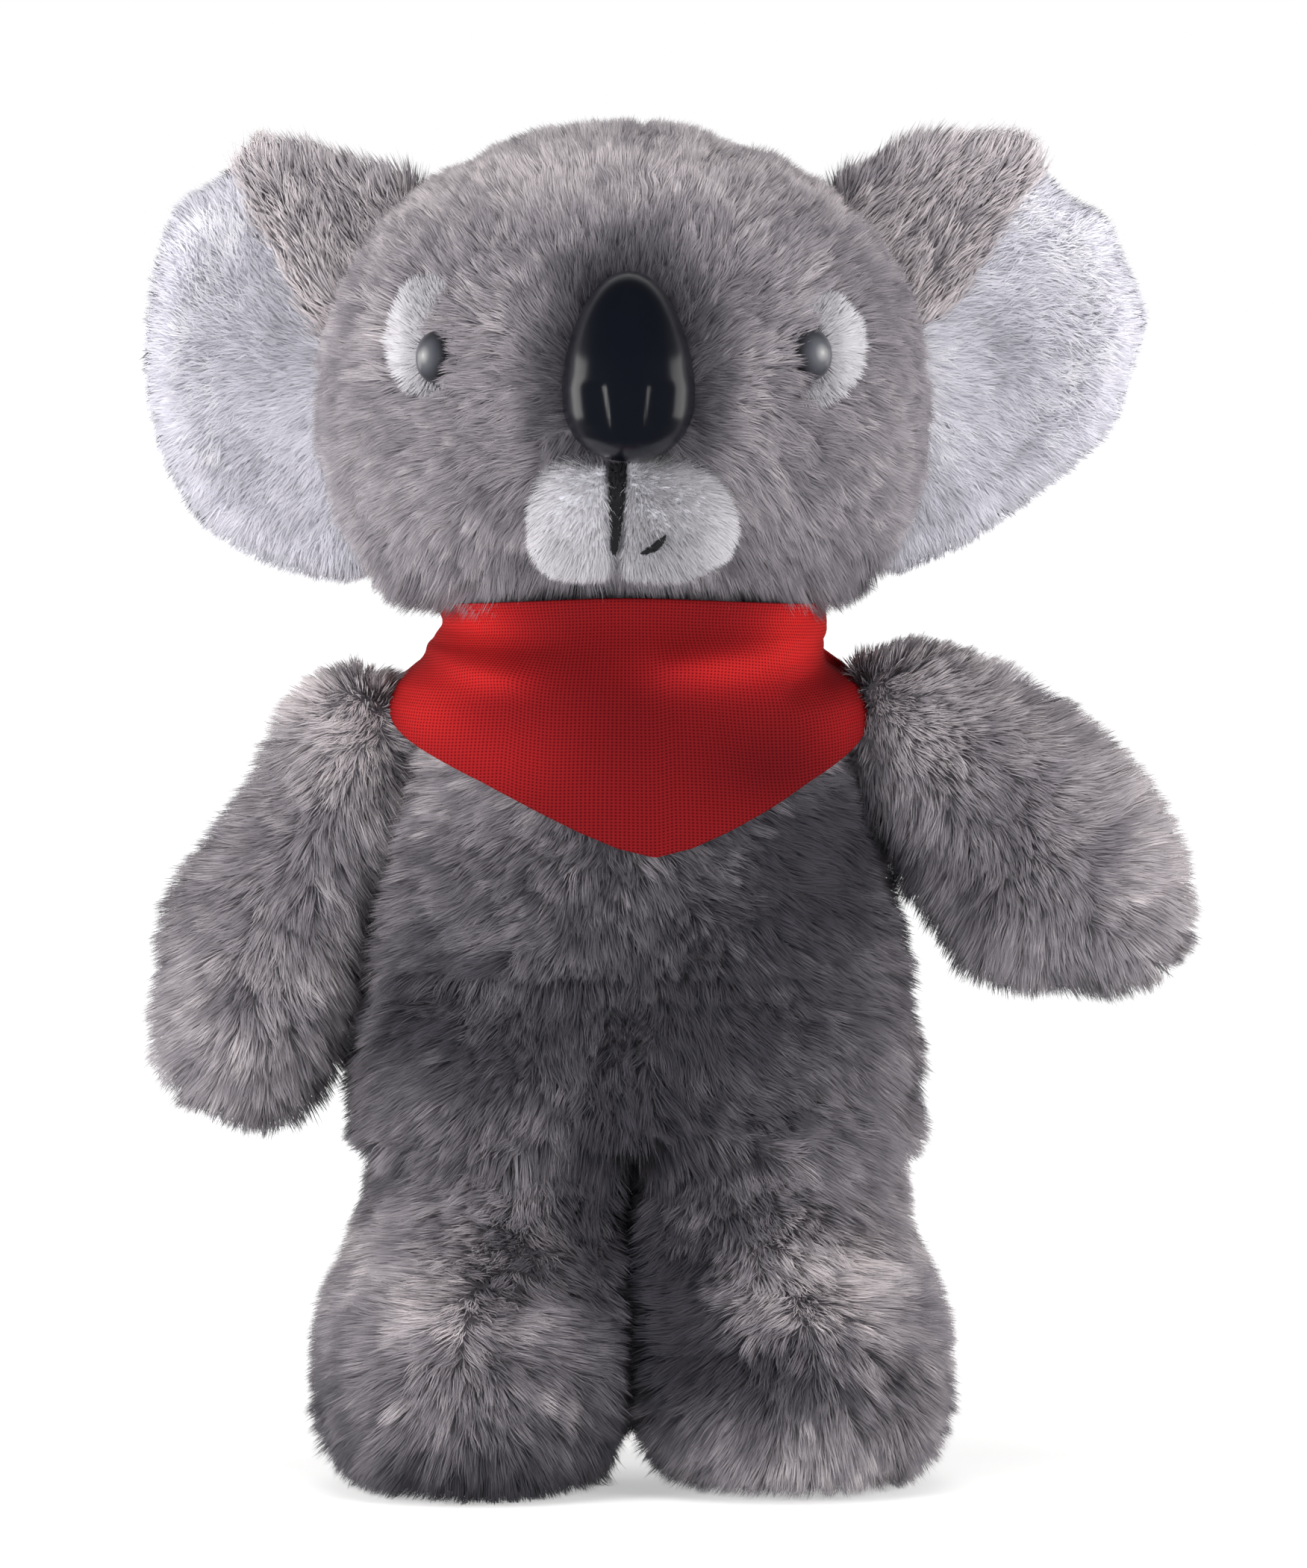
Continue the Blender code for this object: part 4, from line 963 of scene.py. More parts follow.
def head_tone(p, n):
    # painted light and shade: the top of the head is lighter, the fur round the nose is darkened as the nose shades it,
    # the chin and some places on the brow and cheeks are darker and others lighter; the noise term is a random mottling
    near = np.sqrt(((p[:, 0] - 0.2) / 15.0) ** 2 + ((p[:, 2] - 246) / 20.5) ** 2)
    t = np.full(len(p), 0.65) + 0.05 * noise3(p, 15.0, 73) + 0.04 * bump(p, (-46, -30, 228), (18, 40, 18)) + 0.03 * bump(p, (46, -30, 228), (18, 40, 18)) + 0.04 * bump(p, (42, -40, 268), (12, 40, 10))
    t += 0.25 * step(p[:, 2], 266, 290) - 0.15 * bump(p, (0, -50, 273), (26, 40, 11)) - 0.09 * bump(p, (49, -25, 220), (20, 30, 20)) - 0.11 * (1 - step(p[:, 2], 206, 218))
    t -= 0.41 * np.clip(1.54 - near, 0, 0.54) / 0.54 * (p[:, 1] < -30)
    t += 0.05 * bump(p, (18, -45, 278), (14, 30, 12)) + 0.05 * bump(p, (-48, -30, 268), (12, 30, 12))
    return t


head_fur = make_fur("head_fur", "head", head_flow, 7.6, head_length, head_lift, head_tone, GREY, keep=head_keep, kind=SHORT, width=0.18, thin=0.62,
                    big=6.0, small=1.8, pull=(0.10, 0.42), wander=0.28, round_tuft=0.2, ragged=0.08, stray=0.7, waves=0.32, tones=(0.04, 0.06, 0.05), seed=5, patch=0.075, patch_size=11.0,
                    own_side=0.35,
                    split=lambda p, n: [("_face_right", (p[:, 1] < -8) & (p[:, 0] < HEAD_X)), ("_face_left", (p[:, 1] < -8) & (p[:, 0] >= HEAD_X)),
                                        ("_back_right", (p[:, 1] >= -8) & (p[:, 0] < HEAD_X)), ("_back_left", (p[:, 1] >= -8) & (p[:, 0] >= HEAD_X))])
for s in ("right", "left"):
    def patch_flow(p, n, s=s):
        return unit(p - EYE[s] + np.array([0, -4.0, 0]))
    # the white crescents darken next to the eye, painted shade where the eye sits in the plush; the toy's right
    # crescent is a little lighter than the left
    head_fur += make_fur(f"{s}_eye_patch_fur", "head", patch_flow, 15.0, const(2.8), const(0.70), lambda p, n, s=s: (0.64 if s == "right" else 0.58) - 0.26 * (1 - step(np.abs(p[:, 0] - EYE[s][0]), 3.6, 6.4)), WHITE,
                         keep=lambda p, n, s=s: ((p[:, 1] < -15) & off_face(p, 0.82) & (patch_level(p, s) <= 1)).astype(float), kind=SHORT, width=0.21,
                         big=3.5, small=1.4, pull=(0.0, 0.12), round_tuft=0.05, ragged=0.04, stray=0.3, wander=0.2, tones=(0.01, 0.02, 0.03), patch=0.02, seed=6, under=0.1, own_side=0.2)
for o in head_fur + [base_objects["head"]]:
    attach(o, "head")

# ---------------------------------------------------------------- muzzle
def lobe(p, cx, left, right):
    """A lobe round cx that is upright on the side of the seam and round on the other."""
    dx = p[:, 0] - cx
    seam = (dx > 0) == (cx < 0)
    qx = np.abs(dx) / np.where(dx < 0, left, right)
    up = p[:, 2] > 214.6
    qy, qz = np.abs(p[:, 1] + 48.6) / 10.8, np.abs(p[:, 2] - 214.6) / np.where(up, 16.8, 12.4)
    power = np.where(seam, 3.0, np.where(up, 1.9, 2.1))
    return (np.sqrt((qx ** power + qz ** power) ** (2 / power) + qy ** 2) - 1) * 11.0


def f_muzzle(p):
    lobes = smooth_min(lobe(p, -11.0, 10.5, 13.0), lobe(p, 9.0, 15.5, 15.4), 0.8)
    return lobes + 1.2 * np.exp(-((p[:, 0] + 1.9) / 0.8) ** 2)


surface("muzzle", f_muzzle, 1.8, (-27, -63, 196), (30, -34, 232))
o = make_mesh("backing_muzzle", *parts["muzzle"][:2])
o.data.materials.append(WHITE_BASE)
base_objects["muzzle"] = o


def muzzle_flow(p, n):
    f = unit(p - np.array([-1.5, -54.0, 229.0]))
    f[:, 2] -= 0.1
    return f


def muzzle_tone(p, n):
    # painted light and shade: the toy's left lobe is darker but lighter at its outer side; shade is painted near the
    # mouth, under the nose, at the bottom, in the crease of the seam, along the smile groove and in a groove low on the
    # right lobe, with a little light higher on the right lobe
    t = 0.49 - 0.22 * step(p[:, 0], -4, 3) + 0.16 * step(p[:, 0], 12, 20) - 0.28 * bump(p, (6, -58, 213), (7, 20, 7)) - 0.14 * bump(p, (-13, -58, 211), (6, 20, 4)) - 0.09 * (1 - step(p[:, 2], 202, 213)) + 0.08 * bump(p, (-13, -58, 216), (7, 20, 6)) - 0.14 * bump(p, (6, -58, 222), (8, 20, 6))
    t -= 0.34 * np.exp(-((p[:, 0] + 1.9) / 0.9) ** 2)
    smile = np.abs(p[:, 2] - (208.5 + 0.62 * (p[:, 0] - 4.0)))
    t -= 0.25 * np.exp(-(smile / 1.2) ** 2) * step(p[:, 0], 2, 5) * (1 - step(p[:, 0], 13, 18))
    t -= 0.10 * bump(p, (-12, -60, 212), (4, 9, 3))
    return t


muzzle_fur = make_fur("muzzle_fur", "muzzle", muzzle_flow, 10.0, const(3.6), const(0.85), muzzle_tone, WHITE, kind=SHORT, width=0.17, big=4.0, small=1.3, pull=(0.0, 0.16), round_tuft=0.05, ragged=0.05, stray=0.35, wander=0.22, tones=(0.012, 0.025, 0.035), patch=0.05, patch_size=5.0, seed=8, under=0.2, own_side=0.2,
                      keep=lambda p, n: ((p[:, 1] < -40) & (true_distance(f_head)(p) > -5)).astype(float))
for o in muzzle_fur + [base_objects["muzzle"]]:
    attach(o, "head")


def front_y(field, x, z, start=-85.0, stop=-20.0):
    """The y where a ray going back from the front meets the field's surface."""
    x, z = np.broadcast_arrays(np.asarray(x, float), np.asarray(z, float))
    y = np.full(x.shape, stop)
    done = np.zeros(x.shape, bool)
    for yy in np.arange(start, stop, 0.25):
        inside = field(np.stack([x.ravel(), np.full(x.size, yy), z.ravel()], 1)).reshape(x.shape) < 0
        new = inside & ~done
        y[new] = yy
        done |= inside
    return y


def face_field(p):
    return np.minimum(f_muzzle(p), f_head(p) + 2)


# ---------------------------------------------------------------- stitches
def yarn(name, points, width, count, proud):
    """A band of satin stitches along points (x, z) on the muzzle, made of short threads laid across it, proud of its surface by so many millimetres."""
    pts = np.array(points, float)
    seg = np.linalg.norm(np.diff(pts, axis=0), axis=1)
    at = np.concatenate([[0], np.cumsum(seg)])
    q = rng.random(count) * at[-1]
    x, z = np.interp(q, at, pts[:, 0]), np.interp(q, at, pts[:, 1])
    w = np.interp(q, at, width)
    d = np.stack([np.gradient(pts[:, 0]), np.gradient(pts[:, 1])], 1)
    d = unit(np.stack([np.interp(q, at, d[:, 0]), np.interp(q, at, d[:, 1])], 1))
    side = np.stack([-d[:, 1], d[:, 0]], 1)
    off = rng.uniform(-0.5, 0.5, count) * w
    x0, z0 = x + side[:, 0] * off, z + side[:, 1] * off
    y0 = front_y(face_field, x, z) - proud
    depth = 0.5 * (1 - (off / (0.5 * w + 1e-6)) ** 2)
    root = np.stack([x0, y0 - depth + 0.5, z0], 1)
    way = np.stack([d[:, 0], np.zeros(count), d[:, 1]], 1) * rng.choice([-1, 1], count)[:, None]
    way += np.stack([side[:, 0], np.zeros(count), side[:, 1]], 1) * rng.normal(0, 0.25, count)[:, None]
    way = unit(way)
    L = rng.uniform(0.8, 1.7, count)[:, None]
    out = np.array([0, -1.0, 0])
    P = np.stack([root, root + way * L * 0.5 + out * 0.45, root + way * L + out * 0.1], 1)
    nn = unit(out[None] + np.stack([side[:, 0], np.zeros(count), side[:, 1]], 1) * (off / (0.5 * w + 1e-6))[:, None] * 0.8)
    return strands(name, P, np.full(count, 0.42), nn, nn, np.full(count, 0.5), THREAD, kind=SHORT, loose=0.2, roll=0.3)


philtrum = yarn("philtrum_thread", [(-1.7, 227.4), (-1.8, 222), (-2.0, 216), (-2.4, 209.6)], [3.4, 3.2, 2.4, 0.6], 2000, 2.4)
mouth = yarn("mouth_thread", [(4.6, 209.4), (5.8, 209.9), (7.2, 211.0), (8.3, 212.2)], [0.5, 1.3, 1.1, 0.4], 260, 1.0)
for o in (philtrum, mouth):
    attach(o, "head")

# ---------------------------------------------------------------- nose
NOSE = np.array([(228.9, 3.0, 3.6), (229.4, 5.0, 5.8), (230.6, 8.2, 9.4), (234, 12, 13.4), (239, 14.2, 15.6), (245, 14.6, 16), (252, 13.6, 15), (259, 11.4, 12.6),
                 (264.6, 8.6, 9.8), (268.4, 5.2, 6.2), (269.6, 2.6, 3.2), (270.0, 0.6, 0.8)], float)


def nose_mesh():
    grid, (cw, cd) = curves(NOSE, 1.2)
    rows, cols = 110, 128
    a = np.linspace(0.02, math.pi - 0.02, rows)
    z = (grid[0] + grid[-1]) / 2 - np.cos(a) * (grid[-1] - grid[0]) / 2
    w, d = np.interp(z, grid, cw), np.interp(z, grid, cd)
    b = np.linspace(0, 2 * math.pi, cols, endpoint=False)
    X = w[:, None] * np.sin(b)[None]
    Y = -d[:, None] * np.cos(b)[None]
    Z = np.repeat(z[:, None], cols, 1)
    front = step(-Y, 2, 8)
    dent = np.zeros_like(X)
    for sx in (-1, 1):
        # each nostril has a steep inner wall, which catches the light, and fades outwards
        t = np.clip((246.4 - Z) / 10.0, 0, 1)
        wall = (4.0 - 0.9 * t) if sx < 0 else (3.3 - 0.7 * t)
        u = X * sx - wall
        rise = step(u, 0, 2.3 - 0.9 * t)
        fade = np.exp(-np.maximum(u - 2.3, 0) ** 2 / 3.4 ** 2)
        along = step(Z, 234.8, 238.4) * (1 - step(Z, 245.4, 247.8))
        dent += 1.35 * rise * fade * along * (1 - 0.3 * t)
    # the flats either side of the muzzle notch
    dent += 0.35 * np.exp(-((X) / 1.0) ** 2) * (1 - step(Z, 230, 236))
    Y = Y + dent * front
    ring = np.stack([X + 0.7, Y - 54.0, Z], -1).reshape(-1, 3)
    verts = np.concatenate([ring, [[0.7, -54.0, z[0] - 0.02], [0.7, -54.0, z[-1] + 0.02]]])
    i, j = np.meshgrid(np.arange(rows - 1), np.arange(cols), indexing="ij")
    k = (j + 1) % cols
    quads = np.stack([i * cols + j, i * cols + k, (i + 1) * cols + k, (i + 1) * cols + j], -1).reshape(-1, 4)
    n0, n1 = len(verts) - 2, len(verts) - 1
    jj = np.arange(cols)
    caps = np.concatenate([np.stack([np.full(cols, n0), (jj + 1) % cols, jj], 1), np.stack([np.full(cols, n1), (rows - 1) * cols + jj, (rows - 1) * cols + (jj + 1) % cols], 1)])
    o = make_mesh("nose_cover", verts, [quads, caps])
    o.data.materials.append(BLACK_GLOSS)
    return o


nose = nose_mesh()
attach(nose, "head")
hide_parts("nose")


# ---------------------------------------------------------------- eyes
def eye_mesh(s):
    sx = -1 if s == "right" else 1
    axis = unit(np.array([sx * 0.52, -0.84, 0.14]))
    up = unit(np.array([0, 0, 1.0]) - axis * axis[2])
    side = np.cross(up, axis)
    rows, cols = 28, 56
    a = np.linspace(0, math.radians(100), rows)
    b = np.linspace(0, 2 * math.pi, cols, endpoint=False)
    A, B = np.meshgrid(a[1:], b, indexing="ij")
    r = 5.7
    pts = EYE[s] + (np.sin(A) * np.cos(B))[..., None] * side * r * (0.68 if s == "right" else 0.78) + (np.sin(A) * np.sin(B))[..., None] * up * r + np.cos(A)[..., None] * axis * 5.0
    verts = np.concatenate([pts.reshape(-1, 3), [EYE[s] + axis * 5.0]])
    i, j = np.meshgrid(np.arange(rows - 2), np.arange(cols), indexing="ij")
    k = (j + 1) % cols
    quads = np.stack([i * cols + j, (i + 1) * cols + j, (i + 1) * cols + k, i * cols + k], -1).reshape(-1, 4)
    jj = np.arange(cols)
    cap = np.stack([np.full(cols, len(verts) - 1), jj, (jj + 1) % cols], 1)
    # radial coordinates for the painted reflection in the eye's colour
    flat = np.concatenate([np.stack([0.5 + 0.46 * np.sin(A) * np.cos(B), 0.5 + 0.46 * np.sin(A) * np.sin(B)], -1).reshape(-1, 2), [[0.5, 0.5]]])
    o = make_mesh(f"{s}_eye_cover", verts, [quads, cap], flat[np.concatenate([quads.ravel(), cap.ravel()])])
    o.data.materials.append(EYE_GLOSS)
    return o


for s in ("right", "left"):
    o = eye_mesh(s)
    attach(o, "head")
    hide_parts(s + "_eye")

# Dark strands round the rim of each eye stand for the dark edge where the fur meets the dome, partly a painted shadow
# of the dome.
for s in ("right", "left"):
    sx = -1 if s == "right" else 1
    count = 260
    turn = rng.uniform(-1.5, 1.5, count)                   # 0 points to the nose
    way = np.stack([-sx * np.cos(turn), np.zeros(count), np.sin(turn)], 1)
    ring = EYE[s] + way * np.array([4.5, 0, 5.6]) * rng.uniform(0.92, 1.04, count)[:, None]
    y0 = front_y(lambda p: f_head(p) + 0.4, ring[:, 0], ring[:, 2], -60.0, -20.0)
    root = np.stack([ring[:, 0], y0, ring[:, 2]], 1)
    out = np.array([sx * 0.35, -1.0, 0.1])
    L = rng.uniform(1.2, 2.5, count)[:, None] * (0.55 + 0.45 * np.cos(turn / 1.6))[:, None]
    lean = unit(way * 0.75 + out + rng.normal(0, 0.15, (count, 3)))
    P = np.stack([root, root + lean * L * 0.5, root + (lean + way * 0.35) * L], 1)
    nn = np.repeat(unit(out)[None], count, 0)
    o = strands(f"{s}_eye_rim_dark_strands", P, np.full(count, 0.24), nn, nn, np.full(count, 0.5), THREAD, kind=SHORT, loose=0.3)
    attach(o, "head")

# ---------------------------------------------------------------- ears
EAR = {
    "right": [(44, 286), (53, 287), (62, 290), (70, 292.5), (77, 293.4), (82, 292), (87, 286), (97.5, 281), (101.8, 270), (104, 257), (104.8, 244), (102.4, 231),
              (98, 219), (91.5, 210.5), (82, 204.5), (70, 200), (58, 199), (46, 206), (40, 226), (40, 256)],
    "left": [(44, 285.5), (54, 289.3), (60, 292.8), (67, 295), (75, 294.6), (88, 293.4), (90.5, 287.5), (98, 281), (104, 279.5), (107, 272.5), (112, 261.5), (113.4, 253),
             (109.2, 243), (108, 236), (104.5, 230), (99.5, 225), (93, 220.5), (87.5, 216), (78, 209.5), (67.5, 203.5), (58, 200), (46, 206), (40, 226), (40, 256)],
}
CORNER = {"right": [(30, 300), (86, 300), (86, 288), (76, 268), (67, 252), (30, 240)], "left": [(30, 300), (93, 300), (91, 289), (79, 270), (67, 254), (30, 242)]}


def chaikin(points, rounds=2):
    p = np.array(points, float)
    for _ in range(rounds):
        q = np.roll(p, -1, axis=0)
        p = np.stack([p * 0.75 + q * 0.25, p * 0.25 + q * 0.75], 1).reshape(-1, 2)
    return p


def outline_distance(points):
    a = np.array(points, float)
    b = np.roll(a, -1, axis=0)
    ab = b - a
    ll = (ab ** 2).sum(1)

    def one(x, z):
        p = np.stack([x, z], 1)[:, None]
        t = np.clip(((p - a) * ab).sum(2) / ll, 0, 1)
        d = np.sqrt((((a + ab * t[..., None]) - p) ** 2).sum(2)).min(1)
        cross = ((a[:, 1] > p[..., 1]) != (b[:, 1] > p[..., 1])) & (p[..., 0] < (b[:, 0] - a[:, 0]) * (p[..., 1] - a[:, 1]) / (b[:, 1] - a[:, 1] + 1e-12) + a[:, 0])
        return np.where(cross.sum(1) % 2 == 1, -d, d)

    def f(x, z):
        return np.concatenate([one(xx, zz) for xx, zz in zip(np.array_split(x, max(1, len(x) // 20000)), np.array_split(z, max(1, len(z) // 20000)))])
    return f


corner_ds = {s: outline_distance(CORNER[s]) for s in CORNER}
ear_d = {s: outline_distance(chaikin(EAR[s])) for s in EAR}


def ear_mid(ax, z):
    u, v = (ax - 60) / 48, (z - 246) / 46
    rim = np.minimum(1, ((ax - 72) / 36) ** 2 + v ** 2)
    return 15 - 5 * np.maximum(0, u) ** 2 + 4.5 * (1 - rim) - 2 * v ** 2


def smooth_max(a, b, k):
    return -smooth_min(-a, -b, k)


def ear_field(s):
    sx = -1 if s == "right" else 1
    corner_d = corner_ds[s]

    def field(p):
        ax = p[:, 0] * sx
        off = p[:, 1] - ear_mid(ax, p[:, 2])
        raised = np.clip(-corner_d(ax, p[:, 2]) / 6, 0, 1) * 2.2
        thick = np.where(off < 0, 6.0 + raised, 6.0)
        return smooth_max(ear_d[s](ax, p[:, 2]), np.abs(off) - thick, 7.0)
    return field


for s in ("right", "left"):
    sx = -1 if s == "right" else 1
    corner_d = corner_ds[s]
    f_ear = ear_field(s)
    lo, hi = (-116, 38) if sx < 0 else (38, 118)
    if sx < 0:
        lo, hi = -112, -40
    else:
        lo, hi = 40, 120
    verts, quads = nets(lambda p: f_ear(p) + 0.2, (lo, -6, 192), (hi, 34, 300), 2.0)
    parts["ear_" + s] = (verts, quads, unit(gradient(f_ear, verts, 0.8)))
    base = make_mesh("backing_ear_" + s, verts, quads)
    base.data.materials.append(EAR_BASE)
    base.data.materials.append(GREY_BASE)
    base.data.materials.append(GREY_BASE_PAINTED_LIGHT)
    centre = verts[quads].mean(1)
    grey = (centre[:, 1] > ear_mid(centre[:, 0] * sx, centre[:, 2]) + 0.5) | (corner_d(centre[:, 0] * sx, centre[:, 2]) < 0)
    # the grey behind gets the lighter copy of the backing, painted light
    base.data.polygons.foreach_set("material_index", grey.astype(np.int32) + (grey & (centre[:, 1] > 8)))
    base_objects["ear_" + s] = base

    def outside_head(p):
        return true_distance(f_head)(p) > -3.0

    def ear_radial(p, sx=sx):
        f = np.stack([p[:, 0] - sx * 56, np.zeros(len(p)), p[:, 2] - 244], 1)
        return unit(f)

    def white_share(p, n, sx=sx, corner_d=corner_d):
        ax = p[:, 0] * sx
        off = p[:, 1] - ear_mid(ax, p[:, 2])
        corner = corner_d(ax, p[:, 2]) + 1.6 * noise3(p, 4.0, 12)
        front = (off < 1.0 + rng.normal(0, 0.7, len(p))) & (corner > 0)
        return (front & outside_head(p)).astype(float)

    def grey_share(p, n, sx=sx, s=s, corner_d=corner_d):
        ax = p[:, 0] * sx
        off = p[:, 1] - ear_mid(ax, p[:, 2])
        corner = corner_d(ax, p[:, 2]) + 1.6 * noise3(p, 4.0, 12)
        rim = -ear_d[s](ax, p[:, 2])
        return (((off > np.where(rim < 4.5, 4.2, 0.4)) | (corner < 1)) & outside_head(p)).astype(float)

    def rim_of(p, s=s, sx=sx):
        return -ear_d[s](p[:, 0] * sx, p[:, 2])

    def white_tone(p, n, sx=sx, s=s):
        # painted shade: darker in the bowl of the ear, along its rim and towards the bottom by the head
        ax = p[:, 0] * sx
        b = np.exp(-(((ax - (74 if s == "right" else 80)) / 12) ** 2 + ((p[:, 2] - 248) / 22) ** 2))
        return 0.95 - (0.32 if s == "right" else 0.24) * b - (0.40 if s == "right" else 0.34) * (1 - step(rim_of(p), 0, 7)) - (0.18 if s == "right" else 0.32) * (1 - step(p[:, 2], 205, 235))

    def white_flow(p, n, sx=sx):
        return ear_radial(p) + np.array([0, -0.15, -0.1])

    white = make_fur(f"{s}_ear_white_fur", "ear_" + s, white_flow, 6.2, lambda p, n: 5.8 - 2.4 * (1 - step(rim_of(p), 1, 8)), const(0.86), white_tone, EAR_WHITE, facing=lambda p, n: np.array([[0, -1.5, -0.2]]) * (1 - step(rim_of(p), 0, 10))[:, None],
                     keep=white_share, kind=SHORT, width=0.19, big=7.0, small=1.8, pull=(0.03, 0.18), round_tuft=0.1, ragged=0.05, stray=0.5, waves=0.14, tones=(0.035, 0.05, 0.03), patch=0.05, patch_size=9.0, seed=9, own_side=0.2)

    def grey_flow(p, n, sx=sx, corner_d=corner_d):
        ax = p[:, 0] * sx
        c = step(-corner_d(ax, p[:, 2]), -2, 3) * (n[:, 1] < 0.3)
        up = np.stack([np.full(len(p), sx * 0.45), np.zeros(len(p)), np.ones(len(p))], 1)
        return ear_radial(p) * (1 - c)[:, None] + up * c[:, None]

    def grey_tone(p, n, sx=sx, s=s):
        # painted shade: the grey is darker nearer the head, and the part that faces the front darker still
        near = step(p[:, 0] * sx, 46, 70)
        return 0.83 + 0.08 * near - (0.072 if s == "right" else 0.09) * (n[:, 1] < 0.3)

    grey = make_fur(f"{s}_ear_grey_fur", "ear_" + s, grey_flow, 6.0, lambda p, n: 7.0 - 3.6 * (1 - step(rim_of(p), 2, 9)) * (p[:, 1] > 12), const(0.90), grey_tone, GREY,
                    keep=grey_share, kind=SHORT, width=0.19, thin=0.6, big=7.0, small=2.0, pull=(0.06, 0.24), ragged=0.06, stray=0.35, waves=0.06, wander=0.2, turn=0.25, round_tuft=0.15, tones=(0.03, 0.05, 0.06), patch=0.05, seed=10, own_side=0.3,
                    facing=lambda p, n: np.array([[0, -0.35, 0]]) * (n[:, 1] < 0.3)[:, None])
    ear_fur += white + grey
    for o in white + grey + [base]:
        W(sx * 52, 13, 246)
        W(sx * 74, 13, 246)
        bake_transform(o)

# ---------------------------------------------------------------- bandana
RED, red_tree, red_shader = principled("red_knit")
red_shader.inputs["Roughness"].default_value = 0.95
red_shader.inputs["Specular IOR Level"].default_value = 0.05
knit = red_tree.nodes.new("ShaderNodeUVMap")
knit.uv_map = "knit"
knit_xyz = red_tree.nodes.new("ShaderNodeSeparateXYZ")
red_tree.links.new(knit.outputs[0], knit_xyz.inputs[0])


def math_node(tree, op, a, b=None, c=None):
    node = tree.nodes.new("ShaderNodeMath")
    node.operation = op
    for i, value in enumerate((a, b, c)):
        if value is None:
            continue
        if isinstance(value, (int, float)):
            node.inputs[i].default_value = value
        else:
            tree.links.new(value, node.inputs[i])
    return node.outputs[0]


# eyelets of the mesh knit, staggered, 0.78 mm apart in a row and 0.70 mm between rows
wale = math_node(red_tree, "COSINE", math_node(red_tree, "MULTIPLY", knit_xyz.outputs[0], 2 * math.pi / 1.56))
course = math_node(red_tree, "COSINE", math_node(red_tree, "MULTIPLY", knit_xyz.outputs[1], 2 * math.pi / 1.40))
eyelet = math_node(red_tree, "ABSOLUTE", math_node(red_tree, "MULTIPLY", wale, course))
hole = red_tree.nodes.new("ShaderNodeMapRange")
hole.interpolation_type = "SMOOTHSTEP"
for label, value in (("From Min", 0.35), ("From Max", 0.95), ("To Min", 0.0), ("To Max", 1.0)):
    hole.inputs[label].default_value = value
red_tree.links.new(eyelet, hole.inputs["Value"])
shade = red_tree.nodes.new("ShaderNodeAttribute")
shade.attribute_name = "shade"
red_ramp = ramp(red_tree, [(0.0, (0.070, 0.0040, 0.0055)), (0.5, (0.235, 0.0092, 0.0108)), (1.0, (0.440, 0.0170, 0.0165))])
red_tree.links.new(shade.outputs["Fac"], red_ramp.inputs[0])
dots = red_tree.nodes.new("ShaderNodeMix")
dots.data_type = "RGBA"
dots.blend_type = "MULTIPLY"
red_tree.links.new(math_node(red_tree, "MULTIPLY", hole.outputs[0], 0.8), dots.inputs[0])
red_tree.links.new(red_ramp.outputs[0], dots.inputs[6])
dots.inputs[7].default_value = (0.25, 0.25, 0.3, 1)
red_tree.links.new(dots.outputs[2], red_shader.inputs["Base Color"])
relief = red_tree.nodes.new("ShaderNodeBump")
relief.invert = True
relief.inputs["Strength"].default_value = 0.5
relief.inputs["Distance"].default_value = 0.00012
red_tree.links.new(hole.outputs[0], relief.inputs["Height"])
red_tree.links.new(relief.outputs[0], red_shader.inputs["Normal"])


def cloth_field(b, z):
    """Inner face of the cloth at bearing b (radians from the front, towards +X) and height z: its distance from the
    cloth's axis.
    """
    w, f, k = (np.interp(z, CLOTH_AT[:, 0], CLOTH_AT[:, c]) for c in (1, 2, 3))
    sn, cs = np.sin(b), np.cos(b)
    depth = np.where(cs > 0, f, k)
    r = (np.abs(sn / w) ** 2.6 + np.abs(cs / depth) ** 2.6) ** (-1 / 2.6)
    return r


